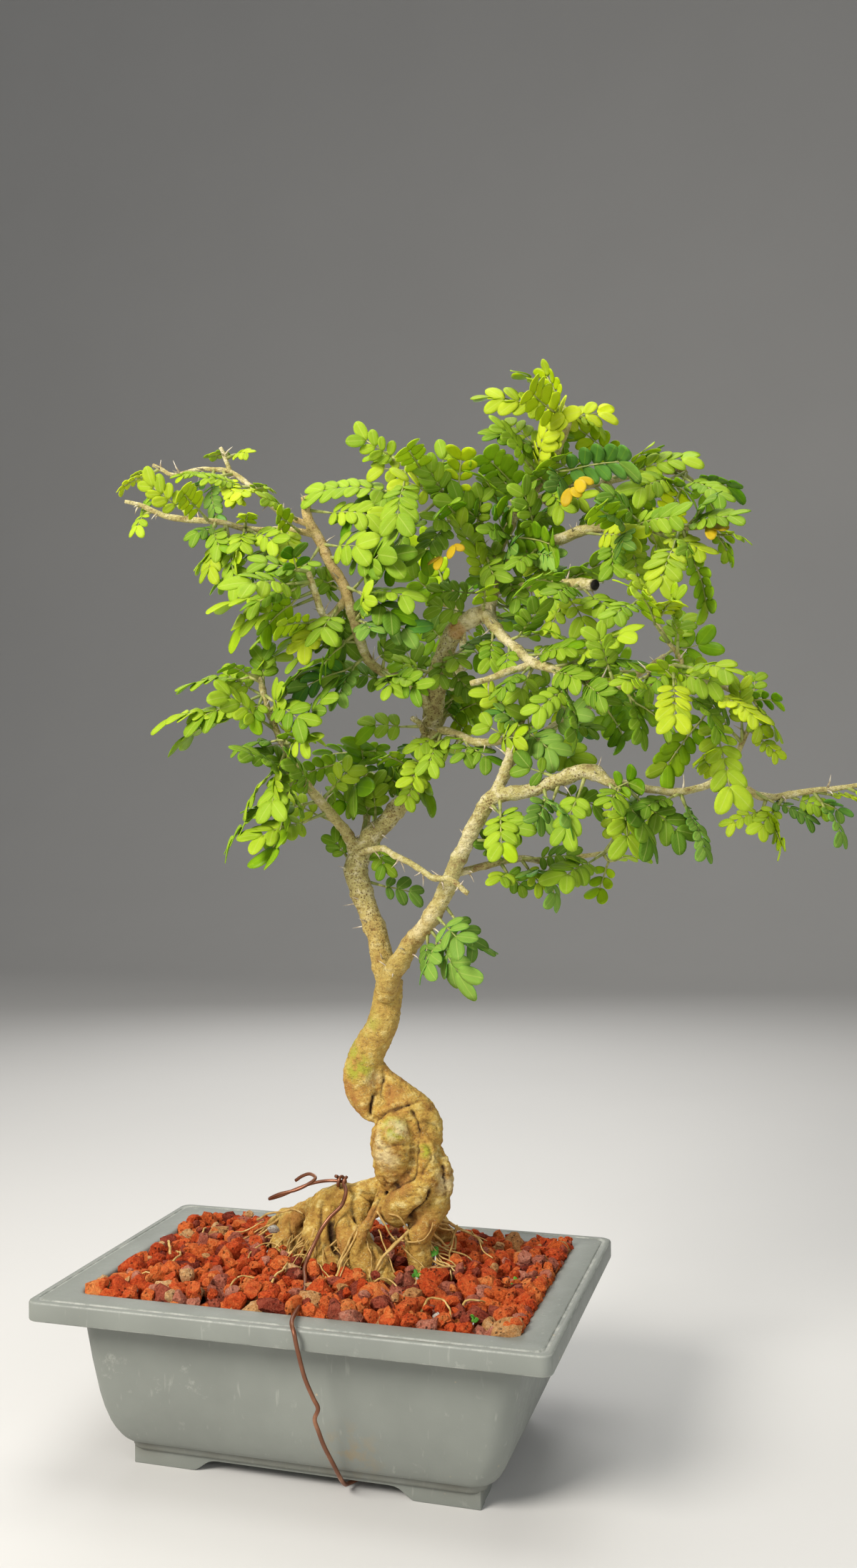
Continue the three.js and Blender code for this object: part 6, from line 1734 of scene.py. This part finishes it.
class BONSAI_OT_soil(bpy.types.Operator):
    """Heap the lava stones, perlite and seedlings in the pot"""

    bl_idname = "bonsai.soil"
    bl_label = "Lava stones and soil"

    def execute(self, context):
        size = context.scene.bonsai_soil.stone_size / MM
        self.add_piece("soil_bed", self.bed(), stone_material("soil_dark", *BED_COLOURS))
        self.wood_spots = [
            (p.xyz, p.w) for name in TRUNK_LIMBS for p in smooth_path(LIMBS[name], 3) if p.z < 84
        ]
        heaps = {name: self.stone_bmesh() for name in STONE_COLOURS}
        draw = seeded_random(5)
        for layer, (spacing, sink, share) in enumerate(STONE_LAYERS):
            self.lay_stones(heaps, draw, spacing, sink, layer, size * share)
        for name, bm in heaps.items():
            mesh = mesh_of(bm, "lava_stones_" + name)
            mesh.set_sharp_from_angle(angle=math.radians(22))
            material = stone_material("lava_" + name, *STONE_COLOURS[name][:3])
            self.add_piece("lava_stones_" + name, mesh, material)
        self.perlite(draw)
        self.seedlings()
        return {"FINISHED"}

    def add_piece(self, name, mesh, material):
        make_piece(name, mesh, [material], ("lava_rock_soil",))

    def stone_bmesh(self):
        bm = bmesh.new()
        bm.verts.layers.float.new("tone")
        return bm

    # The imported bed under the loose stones, lowered from the heap's own solid
    def bed(self):
        bm = bmesh.new()
        bm.from_mesh(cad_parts["lava_rock_soil"].data)
        bmesh.ops.remove_doubles(bm, verts=bm.verts, dist=1e-6)
        for vert in bm.verts:
            if vert.co.z > BED_LOWERED_FROM:
                vert.co.z -= BED_LOWERED_BY
        bmesh.ops.recalc_face_normals(bm, faces=bm.faces)
        return bare_mesh(bm, "soil_bed")

    def lay_stones(self, heaps, draw, spacing, sink, layer, middle_size):
        deep = spacing * ROW_GAP
        for row in range(int(2 * SOIL_HALF_WIDTH / deep) + 2):
            for column in range(int(2 * SOIL_HALF_LENGTH / spacing) + 2):
                shift = (0.5 if row % 2 else 0) + 0.5 * layer
                x = -SOIL_HALF_LENGTH + (column + shift) * spacing + spread(draw, 0.30) * spacing
                y = -SOIL_HALF_WIDTH + (row + 0.4 * layer) * spacing * ROW_GAP + spread(draw, 0.30) * spacing
                size = middle_size * (0.68 + 0.62 * draw() ** 1.3)
                draw()  # one number is passed over
                pick = draw()
                half = size * 0.5
                x = min(SOIL_HALF_LENGTH - half * 0.9, max(-SOIL_HALF_LENGTH + half * 0.9, x))
                y = min(SOIL_HALF_WIDTH - half * 0.9, max(-SOIL_HALF_WIDTH + half * 0.9, y))
                z = soil_height(x, y) + 5.6 - sink - half * 0.4 + spread(draw, 1.4)
                here = Vector((x, y, z))
                if any((here - spot).length < radius + half * 0.55 for spot, radius in self.wood_spots):
                    continue
                for name, (_, _, _, share) in STONE_COLOURS.items():
                    pick -= share
                    if pick <= 0:
                        break
                self.stone(heaps[name], here, size, draw)

    # One broken stone: a ball cut back by chance planes, with a lumpy skin
    def stone(self, bm, here, size, draw):
        part = bmesh.new()
        tone = part.verts.layers.float.new("tone")
        verts = bmesh.ops.create_icosphere(part, subdivisions=2, radius=1)["verts"]
        planes = [(random_direction(draw), 0.5 + 0.35 * draw()) for _ in range(STONE_FACETS)]
        stretch = Vector((1, 0.70 + 0.3 * draw(), 0.55 + 0.35 * draw()))
        spin = Matrix.Rotation(2 * math.pi * draw(), 3, random_direction(draw))
        # A random tone, raised toward the front of the pot: painted light, since the front stones face the
        # lamps
        shade = min(1, draw() + max(0, -here.y) / 110)
        offset = random_direction(draw) * 20
        for vert in verts:
            place = vert.co.copy()
            for normal, reach in planes:
                over = place.dot(normal) - reach
                if over > 0:
                    place -= normal * over
            place *= 1 + 0.22 * noise.noise(place * 1.9 + offset) + 0.13 * noise.noise(place * 5 + offset)
            place *= size * 0.66
            vert.co = here + spin @ Vector((place.x * stretch.x, place.y * stretch.y, place.z * stretch.z))
            vert[tone] = shade
        join_in(bm, part)

    def perlite(self, draw):
        bm = self.stone_bmesh()
        spots = list(PERLITE_SPOTS)
        for _ in range(SMALL_GRAINS):
            x, y = spread(draw, 82), spread(draw, 47)
            spots.append((x, y, soil_height(x, y) + 4.6, 1.6 + 1.6 * draw()))
        for x, y, z, size in spots:
            self.stone(bm, Vector((x, y, z)), size, draw)
        material = stone_material("perlite", *PERLITE_COLOURS)
        self.add_piece("perlite_grains", mesh_of(bm, "perlite_grains"), material)

    def seedlings(self):
        foliage = Foliage()
        draw = seeded_random(31)
        upward = Vector((0, 0, 1))
        for x, y, z, tall in SEEDLINGS:
            base = Vector((x, y, z - 3))
            for _ in range(3):
                heading = (random_direction(draw) * 0.7 + upward * 1.2).normalized()
                top = base + heading * tall
                foliage.stalk([base, base.lerp(top, 0.5), top], 0.35, 0.22)
                flat = (heading + random_direction(draw)).normalized()
                pinna = Pinna(top, flat, 7, random_direction(draw) + upward)
                for side in (-1, 1):
                    foliage.leaflet(pinna, 0, 0.7, side, tall * 0.45, draw, draw())
        top = leaf_material("seedling", *SEEDLING_COLOURS, 0.3, 0.45)
        make_piece("seedlings", foliage.mesh("seedlings", 0.25), [top, top, stalk_material()])


# The wire


COIL_RADIUS = 1.9
COIL_POINTS = 17
COIL_POINTS_A_TURN = 8
# The bow and the knot are worked a little thinner than the run
BOW_SHARE = 0.85


class BONSAI_OT_wire(bpy.types.Operator):
    """Bend the copper wire from its knot over the rim and under the pot"""

    bl_idname = "bonsai.wire"
    bl_label = "Copper wire"

    def execute(self, context):
        settings = context.scene.bonsai_wire
        radius = settings.thickness / MM / 2
        x, y, z = KNOT_CENTRE
        coil = []
        for i in range(COIL_POINTS):
            turn = 2 * math.pi * i / COIL_POINTS_A_TURN
            across, up = COIL_RADIUS * math.sin(turn), COIL_RADIUS * math.cos(turn)
            coil.append((x - 2.5 + i * 0.3, y + across, z + up))
        bm = bmesh.new()
        for points, share, step, sides in (
            (WIRE_RUN, 1, 0.9, 14), (WIRE_BOW, BOW_SHARE, 0.8, 12), (coil, BOW_SHARE, 0.5, 12),
        ):
            grow_tube(bm, smooth_path([(*p, radius * share) for p in points], step), sides)
        mesh = mesh_of(bm, "wire_loop")
        make_piece("wire_loop", mesh, [copper_material(settings)], ("copper_wire",))
        return {"FINISHED"}


# The stage


CAMERA_PLACE = (194.9, -521.4, 252.9)
CAMERA_AHEAD = (-0.2837, 0.9587, 0.0201)
CAMERA_UP = (0.0149, -0.0166, 0.9998)
PHOTO_FOCAL_SHARE = 1906 / 2196
SENSOR_HEIGHT = 36
LIGHTS_AIM = (40, 0, 230)
# Each lamp's place, size in metres, setting for its power, and colour
LAMPS = {
    "key_light": ((-420, -760, 760), 0.5, "key_power", (1.0, 0.96, 0.90)),
    "fill_light": ((760, -560, 420), 0.9, "fill_power", (0.96, 0.98, 1.0)),
    "top_light": ((40, 120, 1100), 0.8, "top_power", (1.0, 0.99, 0.96)),
    "back_light": ((-300, 900, 700), 0.8, "fill_power", (1.0, 1.0, 1.0)),
}


class BONSAI_OT_stage(bpy.types.Operator):
    """Set the pale floor, the soft lights and the camera"""

    bl_idname = "bonsai.stage"
    bl_label = "Stage, lights and camera"

    def execute(self, context):
        settings = context.scene.bonsai_stage
        self.floor(settings)
        self.camera(context)
        for name in LAMPS:
            self.light(name, settings)
        world = bpy.data.worlds.new("pale_room")
        world.use_nodes = True
        world.node_tree.nodes["Background"].inputs["Color"].default_value = (*settings.room_colour, 1)
        world.node_tree.nodes["Background"].inputs["Strength"].default_value = settings.room_light
        context.scene.world = world
        context.scene.view_settings.view_transform = "Standard"
        return {"FINISHED"}

    # A floor that sweeps up behind the pot into a wall
    def floor(self, settings):
        clear_piece("floor")
        bm = bmesh.new()
        edge = [bm.edges.new([bm.verts.new((x, -5, 0)) for x in (-5, 5)])]
        edge = self.drawn_on(bm, edge, (0, 4, 0))
        edge = self.drawn_on(bm, edge, (0, 2.4, 0))
        rounded = bmesh.ops.spin(
            bm, geom=edge, cent=(0, 1.4, 1.2), axis=(1, 0, 0), angle=math.radians(84), steps=24
        )["geom_last"]
        self.drawn_on(bm, [g for g in rounded if isinstance(g, bmesh.types.BMEdge)], (0, 0.3, 3))
        bmesh.ops.recalc_face_normals(bm, faces=bm.faces)
        for face in bm.faces:
            face.smooth = True
        mesh = bare_mesh(bm, "floor")
        shader = Shader("pale_floor")
        paler = tuple(min(1, 1.03 * c) for c in settings.floor_colour)
        tint = shader.ramp(shader.noise(3, 3), (0.3, settings.floor_colour), (0.7, paler))
        mesh.materials.append(shader.finish(tint, 0.7, shader.bump(shader.noise(800, 2), 0.0001, 0.2)))
        floor = bpy.data.objects.new("floor", mesh)
        bpy.context.scene.collection.objects.link(floor)

    # Draws an edge on by a step, and gives back the new one
    def drawn_on(self, bm, edges, step):
        verts, grown = grown_ring(bmesh.ops.extrude_edge_only(bm, edges=edges)["geom"])
        bmesh.ops.translate(bm, vec=step, verts=verts)
        return grown

    def camera(self, context):
        data = bpy.data.cameras.new("photo_camera")
        data.sensor_fit = "VERTICAL"
        data.sensor_height = SENSOR_HEIGHT
        data.lens = PHOTO_FOCAL_SHARE * SENSOR_HEIGHT
        data.clip_start = 0.01
        camera = bpy.data.objects.new("photo_camera", data)
        ahead = Vector(CAMERA_AHEAD).normalized()
        right = ahead.cross(Vector(CAMERA_UP)).normalized()
        up = right.cross(ahead)
        turn = Matrix((right, up, -ahead)).transposed().to_4x4()
        camera.matrix_world = Matrix.Translation(Vector(CAMERA_PLACE) * MM + POT_MIDDLE) @ turn
        context.scene.collection.objects.link(camera)
        context.scene.camera = camera

    def light(self, name, settings):
        clear_piece(name)
        place, size, power, colour = LAMPS[name]
        data = bpy.data.lights.new(name, "AREA")
        data.shape = "DISK"
        data.size = size
        data.energy = getattr(settings, power)
        data.color = colour
        lamp = bpy.data.objects.new(name, data)
        place = Vector(place) * MM + POT_MIDDLE
        lamp.location = place
        aim = Vector(LIGHTS_AIM) * MM + POT_MIDDLE
        lamp.rotation_euler = (aim - place).to_track_quat("-Z", "Y").to_euler()
        bpy.context.scene.collection.objects.link(lamp)


# Settings, panel and registration


def colour_property(name, description, default):
    return FloatVectorProperty(
        name=name, description=description, default=default, size=3, min=0, max=1, subtype="COLOR"
    )


def length_property(name, description, default, low, high):
    return FloatProperty(
        name=name, description=description, default=default, min=low, max=high, unit="LENGTH", precision=4
    )


def power_property(name, description, default):
    return FloatProperty(name=name, description=description, default=default, min=0, unit="POWER")


class WoodSettings(bpy.types.PropertyGroup):
    skin_grain: length_property("Skin grain", "Mesh size of the bark's relief", 0.00062, 0.0003, 0.002)
    root_colour: colour_property("Root bark", "Ochre bark of the trunk and roots", (0.62, 0.40, 0.08))
    russet_colour: colour_property("Russet bark", "Red brown bark low on the trunk", (0.44, 0.19, 0.045))
    branch_colour: colour_property("Branch bark", "Grey tan bark of the upper branches", (0.54, 0.475, 0.175))
    algae_colour: colour_property("Algae", "Green film on the trunk", (0.38, 0.42, 0.03))


class LeafSettings(bpy.types.PropertyGroup):
    thickness: length_property("Leaf thickness", "Thickness of a leaflet", 0.00032, 0.0001, 0.001)
    lime_deep: colour_property("Lime, deep", "Darker young leaf", (0.20, 0.33, 0.002))
    lime_bright: colour_property("Lime, bright", "Brighter young leaf", (0.56, 0.66, 0.010))
    yellow_green_deep: colour_property("Yellow green, deep", "Darker half grown leaf", (0.11, 0.26, 0.002))
    yellow_green_bright: colour_property("Yellow green, bright", "Paler half grown leaf", (0.40, 0.56, 0.012))
    green_deep: colour_property("Green, deep", "Darker grown leaf", (0.052, 0.165, 0.002))
    green_bright: colour_property("Green, bright", "Brighter grown leaf", (0.26, 0.44, 0.012))
    deep_green_deep: colour_property("Deep green, deep", "Darker old leaf", (0.040, 0.135, 0.012))
    # The bright end of the old leaves is tinted bluish: a painted sheen, light reflected off their faces
    deep_green_bright: colour_property("Deep green, bright", "Brighter old leaf", (0.155, 0.36, 0.06))


class PotSettings(bpy.types.PropertyGroup):
    colour: colour_property("Plastic", "Grey green plastic", (0.222, 0.236, 0.210))
    scuff_colour: colour_property("Scuffs", "Chalky scuffs and dried drips", (0.40, 0.41, 0.36))


class SoilSettings(bpy.types.PropertyGroup):
    stone_size: length_property("Stone size", "Middle size of a lava stone", 0.0088, 0.004, 0.02)


class WireSettings(bpy.types.PropertyGroup):
    thickness: length_property("Wire thickness", "Diameter of the copper wire", 0.0016, 0.0005, 0.004)
    colour: colour_property("Copper", "Brown copper", (0.24, 0.095, 0.05))


class StageSettings(bpy.types.PropertyGroup):
    key_power: power_property("Key light", "Power of the key light", 14)
    fill_power: power_property("Fill light", "Power of the fill light", 3)
    top_power: power_property("Top light", "Power of the top light", 6)
    room_light: FloatProperty(name="Room light", description="Light of the whole room", default=0.22, min=0)
    floor_colour: colour_property("Floor", "Pale floor", (0.64, 0.63, 0.61))
    room_colour: colour_property("Room", "Pale surroundings", (0.86, 0.87, 0.88))


SETTINGS = {
    "bonsai_wood": WoodSettings,
    "bonsai_leaves": LeafSettings,
    "bonsai_pot": PotSettings,
    "bonsai_soil": SoilSettings,
    "bonsai_wire": WireSettings,
    "bonsai_stage": StageSettings,
}
OPERATORS = (
    BONSAI_OT_pot, BONSAI_OT_soil, BONSAI_OT_wood, BONSAI_OT_wire, BONSAI_OT_foliage, BONSAI_OT_stage,
)


class BONSAI_PT_panel(bpy.types.Panel):
    """The bonsai's pieces and their settings"""

    bl_label = "Bonsai"
    bl_idname = "BONSAI_PT_panel"
    bl_space_type = "VIEW_3D"
    bl_region_type = "UI"
    bl_category = "Bonsai"

    def draw(self, context):
        for operator in OPERATORS:
            self.layout.operator(operator.bl_idname)
        for key, group in SETTINGS.items():
            box = self.layout.box()
            for name in group.__annotations__:
                box.prop(getattr(context.scene, key), name)


def register():
    for group in SETTINGS.values():
        bpy.utils.register_class(group)
    for key, group in SETTINGS.items():
        setattr(bpy.types.Scene, key, PointerProperty(type=group))
    for operator in OPERATORS:
        bpy.utils.register_class(operator)
    bpy.utils.register_class(BONSAI_PT_panel)


def unregister():
    bpy.utils.unregister_class(BONSAI_PT_panel)
    for operator in reversed(OPERATORS):
        bpy.utils.unregister_class(operator)
    for key, group in SETTINGS.items():
        delattr(bpy.types.Scene, key)
        bpy.utils.unregister_class(group)


def main():
    register()
    bpy.ops.bonsai.pot()
    bpy.ops.bonsai.soil()
    bpy.ops.bonsai.wood()
    bpy.ops.bonsai.wire()
    bpy.ops.bonsai.foliage()
    bpy.ops.bonsai.stage()
    bpy.context.view_layer.update()


if __name__ == "__main__":
    main()
